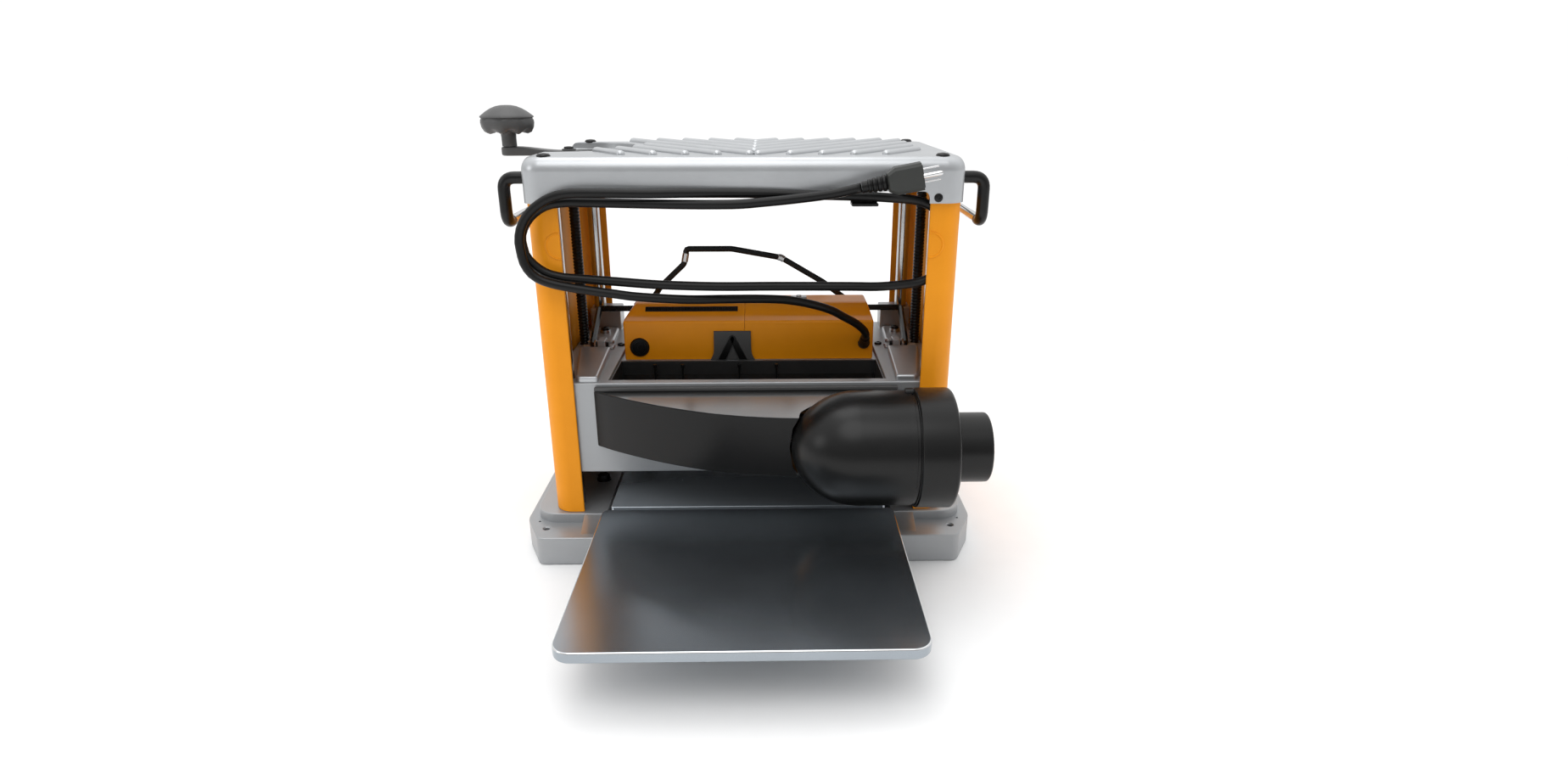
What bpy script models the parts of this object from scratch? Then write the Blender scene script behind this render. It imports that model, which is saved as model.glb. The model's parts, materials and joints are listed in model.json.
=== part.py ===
"""Portable thickness planer, built as separate parts in one frame.

Sizes are in millimetres and are turned into metres where a mesh is made.
+X is to the right of the outfeed side, +Y points at the infeed side, +Z is up,
and the origin is on the floor under the middle of the machine.
"""
import math

import bmesh
import bpy
from mathutils import Matrix, Vector

MM = 0.001
GAP = 0.3

# base and bed
BASE_HALF_X, BASE_HALF_Y, BASE_TOP = 267.0, 170.0, 35.0
BASE_FACE_HALF_X, BASE_CORNER_Y = 244.0, 128.0
PAD_TOP, PAD_HALF_X, PAD_HALF_Y, PAD_INNER_X, PAD_CORNER = 46.7, 256.0, 139.0, 170.0, 28.0
BED_HALF_X, BED_HALF_Y, BED_TOP = 159.0, 165.0, 68.4
TABLE_HALF_X, TABLE_LENGTH, TABLE_THICK = 167.0, 260.5, 11.0
TABLE_HINGE_Y, TABLE_HINGE_Z = 173.0, 62.5

# posts and top
POST_INNER_X, POST_OUTER_X, POST_HALF_Y, POST_TOP = 197.0, 233.0, 135.0, 409.2
SHEET = 2.5
COVER_HALF_X, COVER_HALF_Y, COVER_LOW, COVER_TOP = 234.5, 140.0, 409.5, 457.0
COVER_SKIRT, COVER_WALL = 422.0, 3.0
COLUMN_X, COLUMN_Y, COLUMN_R = 209.0, 108.0, 8.0
SCREW_X, SCREW_Y, SCREW_R = 217.0, 30.0, 6.5
RECESS_FLOOR, RECESS_R = 447.0, 88.0

# carriage
CAR_HALF_X, CAR_HALF_Y, CAR_LOW, CAR_TOP = 226.0, 130.0, 97.0, 208.0
CAR_OPEN_X, CAR_WALL_Y, DECK_LOW, DECK_TOP = 160.0, 118.0, 190.0, 203.7
HEAD_Y, HEAD_Z, HEAD_R = 10.0, 121.5, 23.0
ROLLER_Z, ROLLER_R = 112.8, 16.0
ROLLER_IN_Y, ROLLER_OUT_Y = 66.0, -46.0
MOTOR_HALF_X, MOTOR_NEAR_Y, MOTOR_FAR_Y, MOTOR_LOW = 155.0, -30.0, 62.0, 204.0
ROTOR_Y, ROTOR_Z = 16.0, 234.0
LEVER_X, LEVER_Z, LEVER_Y, LEVER_R = 188.0, 214.0, 84.0, 3.8

# dust hood
HOOD_LOW, HOOD_TOP, ELBOW_Y, ELBOW_Z, ELBOW_R = 131.0, 199.0, -219.0, 165.0, 61.0
PORT_R, CAP_R = 37.0, 63.5

# crank and handles
KNOB_X, KNOB_Y = -285.0, 20.0
HANDLE_X, HANDLE_Y, HANDLE_R = 261.0, 100.0, 5.8

CORD_R = 4.9
CORD_LEAD = [
    (143.5, -43.5, 236), (143.4, -48.2, 240), (140, -53.5, 247.5), (129, -60, 258),
    (114, -68, 268), (98, -79, 279),
    (76, -92, 289), (47, -106, 298), (14, -120, 303), (-25, -133, 306), (-65, -142, 308),
    (-115, -150, 313), (-140, -152.5, 317),
]
CORD_WRAP = [
    (-140.3, -152.6, 317), (-165, -154, 321), (-201, -155.5, 328), (-221, -155.5, 336),
    (-231, -155.5, 349), (-234, -155.5, 366), (-234, -155.5, 377), (-230, -155.5, 390),
    (-222, -155.5, 402), (-210, -155.5, 412), (-196, -155.5, 419), (-180, -155.5, 422.5),
    (-153, -155.5, 423), (-102, -153, 422), (-62, -149.5, 422), (-15, -146, 421.5),
    (20, -145.8, 421), (64, -145.8, 419.5), (104, -145.8, 418.5), (132, -145.6, 417.5),
    (150, -142, 416), (166, -134.5, 414), (179, -128, 412), (191, -126.3, 409),
    (203, -127, 402.5), (213, -124, 390), (219.5, -118.5, 373), (219.5, -118.5, 358),
    (213, -124, 341), (203, -127, 328.5), (191, -126.3, 322.5), (178, -128.5, 321),
    (162, -135.5, 321), (140, -143, 321.5), (111, -145.4, 322.5),
    (30, -145.4, 323), (-31, -145.4, 323), (-90, -145.4, 325), (-141, -145.4, 329),
    (-178, -145.4, 332), (-197, -145.4, 334), (-215, -145.4, 340), (-230, -145.4, 354),
    (-234, -145.4, 368), (-234, -145.4, 379), (-228, -145.4, 391.5), (-218, -145.4, 402),
    (-204, -145.4, 409.5), (-186, -145.4, 412.3), (-165, -145.4, 412.2), (-106, -147.5, 411),
    (-62, -151, 410.6), (-32, -154, 410.8), (-4, -156, 411.5), (20, -156.5, 413.5),
    (53, -158.5, 417), (91, -161.6, 422.3), (120, -164.6, 429),
]
PLUG_START, PLUG_DIRECTION = (120, -164.6, 429), (1.0, -0.08, 0.2)

ORANGE = (0.86, 0.36, 0.03, 1)
SILVER = (0.55, 0.56, 0.58, 1)
STEEL = (0.42, 0.43, 0.45, 1)
CHROME = (0.75, 0.75, 0.76, 1)
BLACK = (0.02, 0.02, 0.022, 1)
GREY = (0.10, 0.10, 0.11, 1)
BRASS = (0.70, 0.50, 0.20, 1)


def paint(name, colour, rough=0.5, metal=0.0):
    """A Principled material, made once and shared by name."""
    mat = bpy.data.materials.get(name)
    if mat is None:
        mat = bpy.data.materials.new(name)
        mat.use_nodes = True
        shader = mat.node_tree.nodes["Principled BSDF"]
        shader.inputs["Base Color"].default_value = colour
        shader.inputs["Roughness"].default_value = rough
        shader.inputs["Metallic"].default_value = metal
        mat.diffuse_color = colour
    return mat


FINISH = {
    "casting": (SILVER, 0.45, 0.6),
    "cover": (SILVER, 0.35, 0.7),
    "orange": (ORANGE, 0.4, 0.0),
    "steel": (STEEL, 0.3, 1.0),
    "chrome": (CHROME, 0.12, 1.0),
    "black": (BLACK, 0.45, 0.0),
    "grey": (GREY, 0.5, 0.0),
    "rubber": (BLACK, 0.8, 0.0),
    "brass": (BRASS, 0.3, 1.0),
}


def add_object(name, bm, finish, origin=(0, 0, 0), angle=35):
    """Turn a mesh in millimetres into a named object whose origin is given."""
    shift = Vector(origin)
    for v in bm.verts:
        v.co = (v.co - shift) * MM
    bmesh.ops.recalc_face_normals(bm, faces=bm.faces)
    mesh = bpy.data.meshes.new(name)
    bm.to_mesh(mesh)
    bm.free()
    mesh.shade_smooth()
    mesh.set_sharp_from_angle(angle=math.radians(angle))
    mesh.materials.append(paint(finish, *FINISH[finish]))
    obj = bpy.data.objects.new(name, mesh)
    obj.location = shift * MM
    bpy.context.scene.collection.objects.link(obj)
    return obj


def place(u, v, w, axis):
    """Outline coordinates (u, v) and the distance w along the extrusion axis."""
    return {"Z": (u, v, w), "X": (w, u, v), "Y": (u, w, v)}[axis]


def prism(outline, low, high, axis="Z"):
    """A closed mesh from an outline extruded along one axis."""
    bm = bmesh.new()
    lower = [bm.verts.new(place(u, v, low, axis)) for u, v in outline]
    upper = [bm.verts.new(place(u, v, high, axis)) for u, v in outline]
    bm.faces.new(lower)
    bm.faces.new(upper)
    count = len(outline)
    for i in range(count):
        j = (i + 1) % count
        bm.faces.new((lower[i], lower[j], upper[j], upper[i]))
    return bm


def arc(cx, cy, radius, start, end, steps):
    """Points on a circular arc, both ends included, with angles in degrees."""
    points = []
    for i in range(steps + 1):
        a = math.radians(start + (end - start) * i / steps)
        points.append((cx + radius * math.cos(a), cy + radius * math.sin(a)))
    return points


def round_rect(x0, y0, x1, y1, radius, steps=4):
    """A rectangle outline with rounded corners."""
    return (
        arc(x1 - radius, y0 + radius, radius, -90, 0, steps)
        + arc(x1 - radius, y1 - radius, radius, 0, 90, steps)
        + arc(x0 + radius, y1 - radius, radius, 90, 180, steps)
        + arc(x0 + radius, y0 + radius, radius, 180, 270, steps)
    )


def box(low, high):
    """A box mesh between two corners."""
    outline = [(low[0], low[1]), (high[0], low[1]), (high[0], high[1]), (low[0], high[1])]
    return prism(outline, low[2], high[2])


def span_box(x, y, z):
    """A box from three (low, high) pairs, sorted so that mirrored values work."""
    pairs = [sorted(p) for p in (x, y, z)]
    return box([p[0] for p in pairs], [p[1] for p in pairs])


def lathe(profile, centre, axis="Z", steps=24, closed=False):
    """Revolve (radius, height) points; an open profile starts and ends on the axis."""
    bm = bmesh.new()
    rings = []
    for radius, height in profile:
        if radius == 0:
            rings.append([bm.verts.new((0, 0, height))])
        else:
            circle = arc(0, 0, radius, 0, 360, steps)[:-1]
            rings.append([bm.verts.new((x, y, height)) for x, y in circle])
    pairs = list(zip(rings, rings[1:]))
    if closed:
        pairs.append((rings[-1], rings[0]))
    for a, b in pairs:
        for i in range(steps):
            j = (i + 1) % steps
            corners = [a[i % len(a)], a[j % len(a)], b[j % len(b)], b[i % len(b)]]
            corners = list(dict.fromkeys(corners))
            if len(corners) > 2:
                bm.faces.new(corners)
    turn = {"Z": Matrix(), "X": Matrix.Rotation(math.pi / 2, 4, "Y"),
            "Y": Matrix.Rotation(-math.pi / 2, 4, "X")}
    if isinstance(axis, str):
        aim = turn[axis]
    else:
        aim = axis.to_track_quat("Z", "Y").to_matrix().to_4x4()
    bm.transform(Matrix.Translation(centre) @ aim)
    return bm


def cylinder(centre, radius, low, high, axis="Z", steps=24):
    """A solid cylinder along an axis, from low to high past its centre point."""
    return lathe([(0, low), (radius, low), (radius, high), (0, high)], centre, axis, steps)


def ring(centre, inner, outer, low, high, axis="Z", steps=24):
    """A plain tube or washer."""
    profile = [(inner, low), (outer, low), (outer, high), (inner, high)]
    return lathe(profile, centre, axis, steps, closed=True)


def helper(name, bm):
    """A hidden object that only serves a Boolean."""
    obj = add_object(name, bm, "grey")
    obj.hide_render = True
    obj.display_type = "WIRE"
    return obj


def combine(obj, tools, operation="DIFFERENCE"):
    """Cut or join a list of meshes with an exact Boolean each."""
    for number, tool in enumerate(tools):
        mod = obj.modifiers.new(f"{operation.lower()}_{number}", "BOOLEAN")
        mod.operation = operation
        mod.solver = "EXACT"
        if isinstance(tool, bmesh.types.BMesh):
            tool = helper(f"tool_{obj.name}_{operation.lower()}_{number}", tool)
        mod.object = tool
    return obj


def bevel(obj, width, segments=2, angle=40):
    """Round the sharp edges of an object."""
    mod = obj.modifiers.new("round_edges", "BEVEL")
    mod.width = width * MM
    mod.segments = segments
    mod.limit_method = "ANGLE"
    mod.angle_limit = math.radians(angle)
    return obj


def rod(name, points, radius, finish, origin=(0, 0, 0), sides=2):
    """A round bar or cord along a polyline, with filled ends."""
    curve = bpy.data.curves.new(name, "CURVE")
    curve.dimensions = "3D"
    curve.bevel_depth = radius * MM
    curve.bevel_resolution = sides
    curve.use_fill_caps = True
    spline = curve.splines.new("POLY")
    spline.points.add(len(points) - 1)
    for point, place_ in zip(spline.points, points):
        point.co = tuple((Vector(place_) - Vector(origin)) * MM) + (1.0,)
    spline.use_smooth = True
    curve.materials.append(paint(finish, *FINISH[finish]))
    obj = bpy.data.objects.new(name, curve)
    obj.location = Vector(origin) * MM
    bpy.context.scene.collection.objects.link(obj)
    return obj


def fillet(points, radius, steps=3):
    """A polyline whose inner corners are replaced by short arcs."""
    path = [Vector(points[0])]
    for before, corner, after in zip(points, points[1:], points[2:]):
        corner = Vector(corner)
        back = (Vector(before) - corner).normalized() * radius
        on = (Vector(after) - corner).normalized() * radius
        for i in range(steps + 1):
            t = i / steps
            path.append(corner + back * (1 - t) ** 2 + on * t ** 2)
    path.append(Vector(points[-1]))
    return path


def smooth_route(knots, spacing):
    """Even points on a Catmull-Rom curve through the knots."""
    knots = [Vector(k) for k in knots]
    padded = [2 * knots[0] - knots[1]] + knots + [2 * knots[-1] - knots[-2]]
    fine = []
    for a, b, c, d in zip(padded, padded[1:], padded[2:], padded[3:]):
        for i in range(12):
            t = i / 12
            fine.append(0.5 * (2 * b + (c - a) * t + (2 * a - 5 * b + 4 * c - d) * t ** 2
                               + (3 * b - a - 3 * c + d) * t ** 3))
    fine.append(knots[-1])
    length = sum((q - p).length for p, q in zip(fine, fine[1:]))
    step = length / round(length / spacing)
    route, travelled, target = [fine[0]], 0.0, step
    for p, q in zip(fine, fine[1:]):
        run = (q - p).length
        while travelled + run >= target and len(route) < round(length / spacing):
            route.append(p.lerp(q, (target - travelled) / run))
            target += step
        travelled += run
    route.append(fine[-1])
    return route


def mirrored(side, bm):
    """Mirror a mesh in the YZ plane when side is -1."""
    if side < 0:
        bm.transform(Matrix.Scale(-1, 4, Vector((1, 0, 0))))
    return bm


SIDES = (("left", -1), ("right", 1))


def build_base():
    outline = [
        (-BASE_FACE_HALF_X, -BASE_HALF_Y), (BASE_FACE_HALF_X, -BASE_HALF_Y),
        (BASE_HALF_X, -BASE_CORNER_Y), (BASE_HALF_X, BASE_CORNER_Y),
        (BASE_FACE_HALF_X, BASE_HALF_Y), (-BASE_FACE_HALF_X, BASE_HALF_Y),
        (-BASE_HALF_X, BASE_CORNER_Y), (-BASE_HALF_X, -BASE_CORNER_Y),
    ]
    base = add_object("base_casting", prism(outline, 0, BASE_TOP), "casting", angle=30)
    pads = []
    for _, s in SIDES:
        corner_x, corner_y = PAD_HALF_X - PAD_CORNER, PAD_HALF_Y - PAD_CORNER
        pad = arc(corner_x, -corner_y, PAD_CORNER, -90, 0, 5)
        pad += arc(corner_x, corner_y, PAD_CORNER, 0, 90, 5)
        pad += [(PAD_INNER_X, PAD_HALF_Y), (PAD_INNER_X, -PAD_HALF_Y)]
        pads.append(mirrored(s, prism(pad, BASE_TOP - 5, PAD_TOP)))
    pads.append(box((-155, -160, BASE_TOP - 5), (155, 160, BED_TOP - 6 - GAP)))
    for end in (-1, 1):
        for s in (-1, 1):
            ear = arc(TABLE_HINGE_Y, TABLE_HINGE_Z, 4.0, 0, 180, 4)
            ear += [(TABLE_HINGE_Y - 4, 58), (150, 58), (150, 36), (TABLE_HINGE_Y + 4, 36)]
            ear = [(end * y, z) for y, z in ear]
            pads.append(prism(ear, s * 100 - 5, s * 100 + 5, "X"))
    combine(base, pads, "UNION")
    cuts = [span_box((-236, 236), (8, 52), (-5, 20))]
    for s in (-1, 1):
        cuts.append(span_box((s * 25, s * 222), (-150, -8), (-5, 25)))
        cuts.append(span_box((s * 25, s * 222), (68, 150), (-5, 25)))
        cuts.append(cylinder((s * SCREW_X, SCREW_Y, 0), SCREW_R + 0.5, 10, 60, steps=16))
        for end in (-1, 1):
            cuts.append(cylinder((s * 239, end * 153, 0), 3.5, -5, 50, steps=12))
            cuts.append(cylinder((s * COLUMN_X, end * COLUMN_Y, 0), COLUMN_R + GAP, 32, 60, steps=24))
    for end in (-1, 1):
        pin = (0, end * TABLE_HINGE_Y, TABLE_HINGE_Z)
        cuts.append(cylinder(pin, 2.3, -120, 120, "X", 12))
    combine(base, cuts)


def build_bed():
    plate = round_rect(-BED_HALF_X, -BED_HALF_Y, BED_HALF_X, BED_HALF_Y, 4, 2)
    bed = add_object("bed_plate", prism(plate, BED_TOP - 6, BED_TOP), "steel")
    bevel(bed, 1.2, 1)


def build_table(name, end):
    """A fold-up extension table and its hinge pin; end is -1 outfeed, 1 infeed."""
    inner, outer = BED_HALF_Y + 5.5, BED_HALF_Y + 5.5 + TABLE_LENGTH
    outline = (
        arc(TABLE_HALF_X - 8, inner + 8, 8, -90, 0, 3)
        + arc(TABLE_HALF_X - 18, outer - 18, 18, 0, 90, 5)
        + arc(18 - TABLE_HALF_X, outer - 18, 18, 90, 180, 5)
        + arc(8 - TABLE_HALF_X, inner + 8, 8, 180, 270, 3)
    )
    outline = [(x, end * y) for x, y in outline]
    hinge = (0, end * TABLE_HINGE_Y, TABLE_HINGE_Z)
    table = add_object(name, prism(outline, BED_TOP - TABLE_THICK, BED_TOP), "steel", hinge)
    cuts = [cylinder(hinge, 2.3, -132, 132, "X", 12)]
    for s in (-1, 1):
        cuts.append(span_box((s * 93, s * 107), (end * 160, end * 179), (50, BED_TOP - 1.2)))
    combine(table, cuts)
    pin = name.replace("table", "hinge_pin")
    add_object(pin, cylinder(hinge, 2.0, -130, 130, "X", 12), "chrome")


def build_posts():
    for name, s in SIDES:
        outer = POST_OUTER_X
        shape = [(POST_INNER_X, -POST_HALF_Y)]
        shape += arc(outer - 22, -POST_HALF_Y + 22, 22, -90, 0, 5)
        shape += arc(outer - 22, POST_HALF_Y - 22, 22, 0, 90, 5)
        shape += [(POST_INNER_X, POST_HALF_Y), (POST_INNER_X, POST_HALF_Y - SHEET)]
        shape += arc(outer - 22, POST_HALF_Y - 22, 22 - SHEET, 90, 0, 5)
        shape += arc(outer - 22, -POST_HALF_Y + 22, 22 - SHEET, 0, -90, 5)
        shape += [(POST_INNER_X, -POST_HALF_Y + SHEET)]
        sheet = mirrored(s, prism(shape, PAD_TOP + GAP, POST_TOP))
        add_object(f"side_cover_{name}", sheet, "orange", angle=30)
        for place_name, end in (("rear", -1), ("front", 1)):
            centre = (s * COLUMN_X, end * COLUMN_Y, 0)
            column = cylinder(centre, COLUMN_R, 32.3, RECESS_FLOOR - COVER_WALL - GAP)
            add_object(f"guide_column_{place_name}_{name}", column, "chrome")


def loft(rows):
    """A closed mesh through outlines of equal length, each with its height."""
    bm = bmesh.new()
    rings = [[bm.verts.new((x, y, z)) for x, y in outline] for outline, z in rows]
    bm.faces.new(rings[0])
    bm.faces.new(rings[-1])
    for a, b in zip(rings, rings[1:]):
        for i in range(len(a)):
            j = (i + 1) % len(a)
            bm.faces.new((a[i], a[j], b[j], b[i]))
    return bm


def cover_dome(dome, wall, low):
    """The cover's outer shape, or the same shape one wall thickness smaller."""
    rows = []
    for inset, z in ((0, low + wall),) + dome:
        x, y = COVER_HALF_X - inset - wall, COVER_HALF_Y - inset - wall
        rows.append((round_rect(-x, -y, x, y, 22 - 0.6 * inset - wall, 5), z - wall))
    return loft(rows)


def build_cover():
    dome = ((0, COVER_TOP - 15), (1.5, COVER_TOP - 8), (5, COVER_TOP - 2.5), (11, COVER_TOP))
    cover = add_object("top_cover", cover_dome(dome, 0, COVER_LOW), "cover")
    flat = [span_box((-POST_INNER_X + 2, POST_INNER_X - 2), (-160, 160), (390, COVER_SKIRT))]
    centre = (-SCREW_X, SCREW_Y, 0)
    flat.append(cylinder(centre, RECESS_R, RECESS_FLOOR, 480, steps=40))
    w = COVER_WALL
    hollow = helper("tool_cover_hollow", cover_dome(dome, w, 380))
    roof = cylinder(centre, RECESS_R + w, RECESS_FLOOR - w, 480, steps=40)
    combine(hollow, [roof])
    combine(cover, flat + [hollow])
    combine(cover, [cylinder(centre, SCREW_R + 0.5, 430, 460, steps=16)])
    cover.modifiers[-1].name = "screw_hole"


def build_crank():
    hub = (-SCREW_X, SCREW_Y, 0)
    screw = lathe([(0, 12), (SCREW_R, 12), (SCREW_R, 447), (0, 447)], hub, "Z", 16)
    add_object("lead_screw_left", screw, "black", hub)
    arm = arc(-SCREW_X, SCREW_Y, 13, -80, 100, 7) + arc(KNOB_X, KNOB_Y, 10, 100, 280, 6)
    crank = add_object("crank_arm", prism(arm, RECESS_FLOOR + GAP, 457.5), "grey", hub)
    bevel(crank, 1.5, 1, 60)
    pin = cylinder((KNOB_X, KNOB_Y, 0), 4.0, 457.8, 492, steps=12)
    add_object("crank_pin", pin, "chrome", hub)
    profile = [
        (4.3, 458.1), (8.5, 458.1), (8.5, 476), (14, 477), (28, 475), (31, 480),
        (31, 487), (27, 495), (17, 502), (0, 505), (0, 494), (4.3, 494),
    ]
    knob = lathe(profile, (KNOB_X, KNOB_Y, 0), "Z", 24, closed=True)
    add_object("crank_knob", knob, "grey", (KNOB_X, KNOB_Y, 0))
    right = (SCREW_X, SCREW_Y, 0)
    screw = lathe([(0, 12), (SCREW_R, 12), (SCREW_R, 440), (0, 440)], right, "Z", 16)
    add_object("lead_screw_right", screw, "black", right)
    for name, s in SIDES:
        teeth = []
        for i in range(10):
            for turn, radius in ((0, 11.5), (9, 14.5), (18, 14.5), (27, 11.5)):
                a = math.radians(36 * i + turn)
                teeth.append((s * SCREW_X + radius * math.cos(a), SCREW_Y + radius * math.sin(a)))
        add_object(f"sprocket_{name}", prism(teeth, 4, 11.7), "steel", (s * SCREW_X, SCREW_Y, 0))
        nut = [(s * SCREW_X + 11 * math.cos(math.radians(60 * i)),
                SCREW_Y + 11 * math.sin(math.radians(60 * i))) for i in range(6)]
        nut = add_object(f"lift_nut_{name}", prism(nut, 84, CAR_LOW - GAP), "brass")
        combine(nut, [cylinder((s * SCREW_X, SCREW_Y, 0), SCREW_R + 0.4, 80, 100, steps=16)])


def build_chain():
    loop_out = arc(SCREW_X, SCREW_Y, 18.5, -90, 90, 8) + arc(-SCREW_X, SCREW_Y, 18.5, 90, 270, 8)
    loop_in = arc(SCREW_X, SCREW_Y, 15.5, -90, 90, 8) + arc(-SCREW_X, SCREW_Y, 15.5, 90, 270, 8)
    add_object("lift_chain", band(loop_out, loop_in, 4.5, 11, "Z"), "steel")


def band(outer, inner, low, high, axis):
    """A closed loop between two outlines with the same number of points."""
    bm = bmesh.new()
    rows = []
    for line, level in ((outer, low), (outer, high), (inner, high), (inner, low)):
        rows.append([bm.verts.new(place(u, v, level, axis)) for u, v in line])
    count = len(outer)
    for a, b in zip(rows, rows[1:] + rows[:1]):
        for i in range(count):
            j = (i + 1) % count
            bm.faces.new((a[i], a[j], b[j], b[i]))
    return bm


def build_handles():
    for name, s in SIDES:
        start = COVER_HALF_X + GAP
        bends = [(s * start, -HANDLE_Y, 433), (s * HANDLE_X, -HANDLE_Y, 433),
                 (s * HANDLE_X, -HANDLE_Y, 385), (s * HANDLE_X, HANDLE_Y, 385),
                 (s * HANDLE_X, HANDLE_Y, 433), (s * start, HANDLE_Y, 433)]
        rod(f"handle_{name}", fillet(bends, 14, 4), HANDLE_R, "black")


def build_carriage():
    block = prism(round_rect(-CAR_HALF_X, -CAR_HALF_Y, CAR_HALF_X, CAR_HALF_Y, 14, 3), CAR_LOW, CAR_TOP)
    body = add_object("carriage_casting", block, "casting", angle=30)
    joins = []
    for s in (-1, 1):
        joins.append(span_box((s * 180, s * 221), (96, 126), (CAR_TOP - 5, 238)))
        joins.append(span_box((s * 183, s * 193), (-9, 9), (CAR_TOP - 5, 222)))
    combine(body, joins, "UNION")
    wide = CAR_OPEN_X
    cuts = [
        box((-wide, -CAR_WALL_Y, 80), (wide, CAR_WALL_Y, DECK_LOW)),
        box((-wide, -CAR_WALL_Y, 80), (wide, MOTOR_NEAR_Y - 4, 240)),
        box((-wide, MOTOR_NEAR_Y - 6, DECK_TOP), (wide, CAR_WALL_Y, 240)),
        box((-150, -150, 137), (150, -100, 193)),
        box((-156, -14, 180), (-132, 42, 230)),
    ]
    for s in (-1, 1):
        cuts.append(cylinder((s * SCREW_X, SCREW_Y, 0), SCREW_R + 0.6, 80, 260, steps=16))
        cuts.append(cylinder((0, HEAD_Y, HEAD_Z), 14.3, *sorted((s * 150, s * 170)), "X", 20))
        cuts.append(cylinder((0, 0, LEVER_Z), LEVER_R + 0.4, *sorted((s * 178, s * 197)), "X", 12))
        for y in (ROLLER_IN_Y, ROLLER_OUT_Y):
            cuts.append(cylinder((0, y, ROLLER_Z), 7.4, *sorted((s * 150, s * 176)), "X", 14))
        for end in (-1, 1):
            bore = cylinder((s * COLUMN_X, end * COLUMN_Y, 0), COLUMN_R + 0.4, 80, 260, steps=24)
            cuts.append(bore)
    combine(body, cuts)
    for name, s in SIDES:
        low, high = sorted((s * 160.3, s * 169.7))
        bearing = ring((0, HEAD_Y, HEAD_Z), 8.3, 14, low, high, "X", 20)
        add_object(f"cutterhead_bearing_{name}", bearing, "steel")


def motor_profile(inset):
    """Side view of the motor housing, open below when the inset is used."""
    near, far = MOTOR_NEAR_Y + inset, MOTOR_FAR_Y - inset
    low = MOTOR_LOW - (inset * 4)
    top = 268 - inset
    return [(near, low), (near, 246 - inset), (near + 3, 251 - inset), (-12, 254 - inset),
            (2, top - 3), (14, top), (44, top), (56, top - 5), (far, 250), (far, low)]


def build_motor():
    for name, s in SIDES:
        low, high = sorted((s * 5.2 - 5, s * MOTOR_HALF_X))
        if s > 0:
            low = -4.8
        else:
            high = -5.2
        shell = add_object(f"motor_housing_{name}", prism(motor_profile(0), low, high, "X"), "orange")
        if s > 0:
            inner_low, inner_high = low - 5, high - 3
        else:
            inner_low, inner_high = low + 3, high + 5
        combine(shell, [prism(motor_profile(3), inner_low, inner_high, "X")])
    axis = (0, ROTOR_Y, ROTOR_Z)
    stator = ring(axis, 17.5, 26, -60, 60, "X", 20)
    add_object("motor_stator", stator, "steel")
    shaft = [(0, -148), (4, -148), (4, -147), (10, -147), (10, -137), (4, -137), (4, -70),
             (16.5, -68), (16.5, 68), (5, 70), (5, 140), (0, 140)]
    add_object("motor_rotor", lathe(shaft, axis, "X", 20), "steel", axis)
    outer = arc(ROTOR_Y, ROTOR_Z, 12.5, -10, 170, 8) + arc(HEAD_Y, HEAD_Z, 17.5, 170, 350, 8)
    inner = arc(ROTOR_Y, ROTOR_Z, 10.4, -10, 170, 8) + arc(HEAD_Y, HEAD_Z, 15.4, 170, 350, 8)
    add_object("drive_belt", band(outer, inner, -146, -138, "X"), "rubber")
    plate = [(-46, 204), (5, 204), (2, 214), (0, 241), (-41, 241), (-42, 214)]
    add_object("vent_plate", prism(plate, MOTOR_NEAR_Y - 3.3, MOTOR_NEAR_Y - GAP, "Y"), "grey")


def build_cutterhead():
    centre = (0, HEAD_Y, HEAD_Z)
    outline = []
    for i in range(3):
        start = 120 * i
        outline += arc(HEAD_Y, HEAD_Z, HEAD_R, start + 12, start + 100, 6)
        for turn, radius in ((102, 15.0), (125, 15.0)):
            a = math.radians(start + turn)
            outline.append((HEAD_Y + radius * math.cos(a), HEAD_Z + radius * math.sin(a)))
    head = add_object("cutterhead", prism(outline, -132, 156, "X"), "steel", centre)
    shafts = [cylinder(centre, 8, -168, -120, "X", 16), cylinder(centre, 8, 150, 168, "X", 16),
              cylinder(centre, 15, -147, -137, "X", 20)]
    combine(head, shafts, "UNION")
    for i in range(3):
        turn = Matrix.Rotation(math.radians(120 * i + 114), 4, "X")
        knife = span_box((-130, 155), (15.6, HEAD_R + 1.2), (-0.9, 0.9))
        knife.transform(Matrix.Translation(centre) @ turn)
        add_object(f"knife_{i + 1}", knife, "chrome", centre)
    for name, y in (("infeed_roller", ROLLER_IN_Y), ("outfeed_roller", ROLLER_OUT_Y)):
        profile = [(0, -174), (7, -174), (7, -152), (ROLLER_R, -152),
                   (ROLLER_R, 152), (7, 152), (7, 174), (0, 174)]
        add_object(name, lathe(profile, (0, y, ROLLER_Z), "X", 20), "rubber", (0, y, ROLLER_Z))
    shaft = (0, 98, 128)
    comb = [(-150, 132), (-150, 124)]
    for i in range(10):
        x = -145 + 30 * i
        comb += [(x, 124), (x, 99), (x + 20, 99), (x + 20, 124)]
    comb += [(150, 124), (150, 132)]
    add_object("kickback_pawls", prism(comb, 96, 100, "Y"), "steel", shaft)
    plate = [(-38, 188), (-38, 184), (-60, 168), (-112, 160), (-116, 160), (-116, 163.5), (-60, 172)]
    add_object("chip_deflector", prism(plate, -156, 156, "X"), "black")


def build_lever():
    half = [(LEVER_X - 8, 0, LEVER_Z), (201, 0, LEVER_Z), (206, LEVER_Y, 241)]
    left = [(-x, y, z) for x, y, z in half]
    hump = [(-141, LEVER_Y, 241), (-121, LEVER_Y, 271), (-88, LEVER_Y, 302), (-84, LEVER_Y, 322),
            (-24, LEVER_Y, 322), (42, LEVER_Y, 310), (98, LEVER_Y, 277), (146, LEVER_Y, 241)]
    path = fillet(left + hump + half[::-1], 5, 2)
    rod("lock_lever", path, LEVER_R, "black", (0, 0, LEVER_Z), 1)


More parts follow.
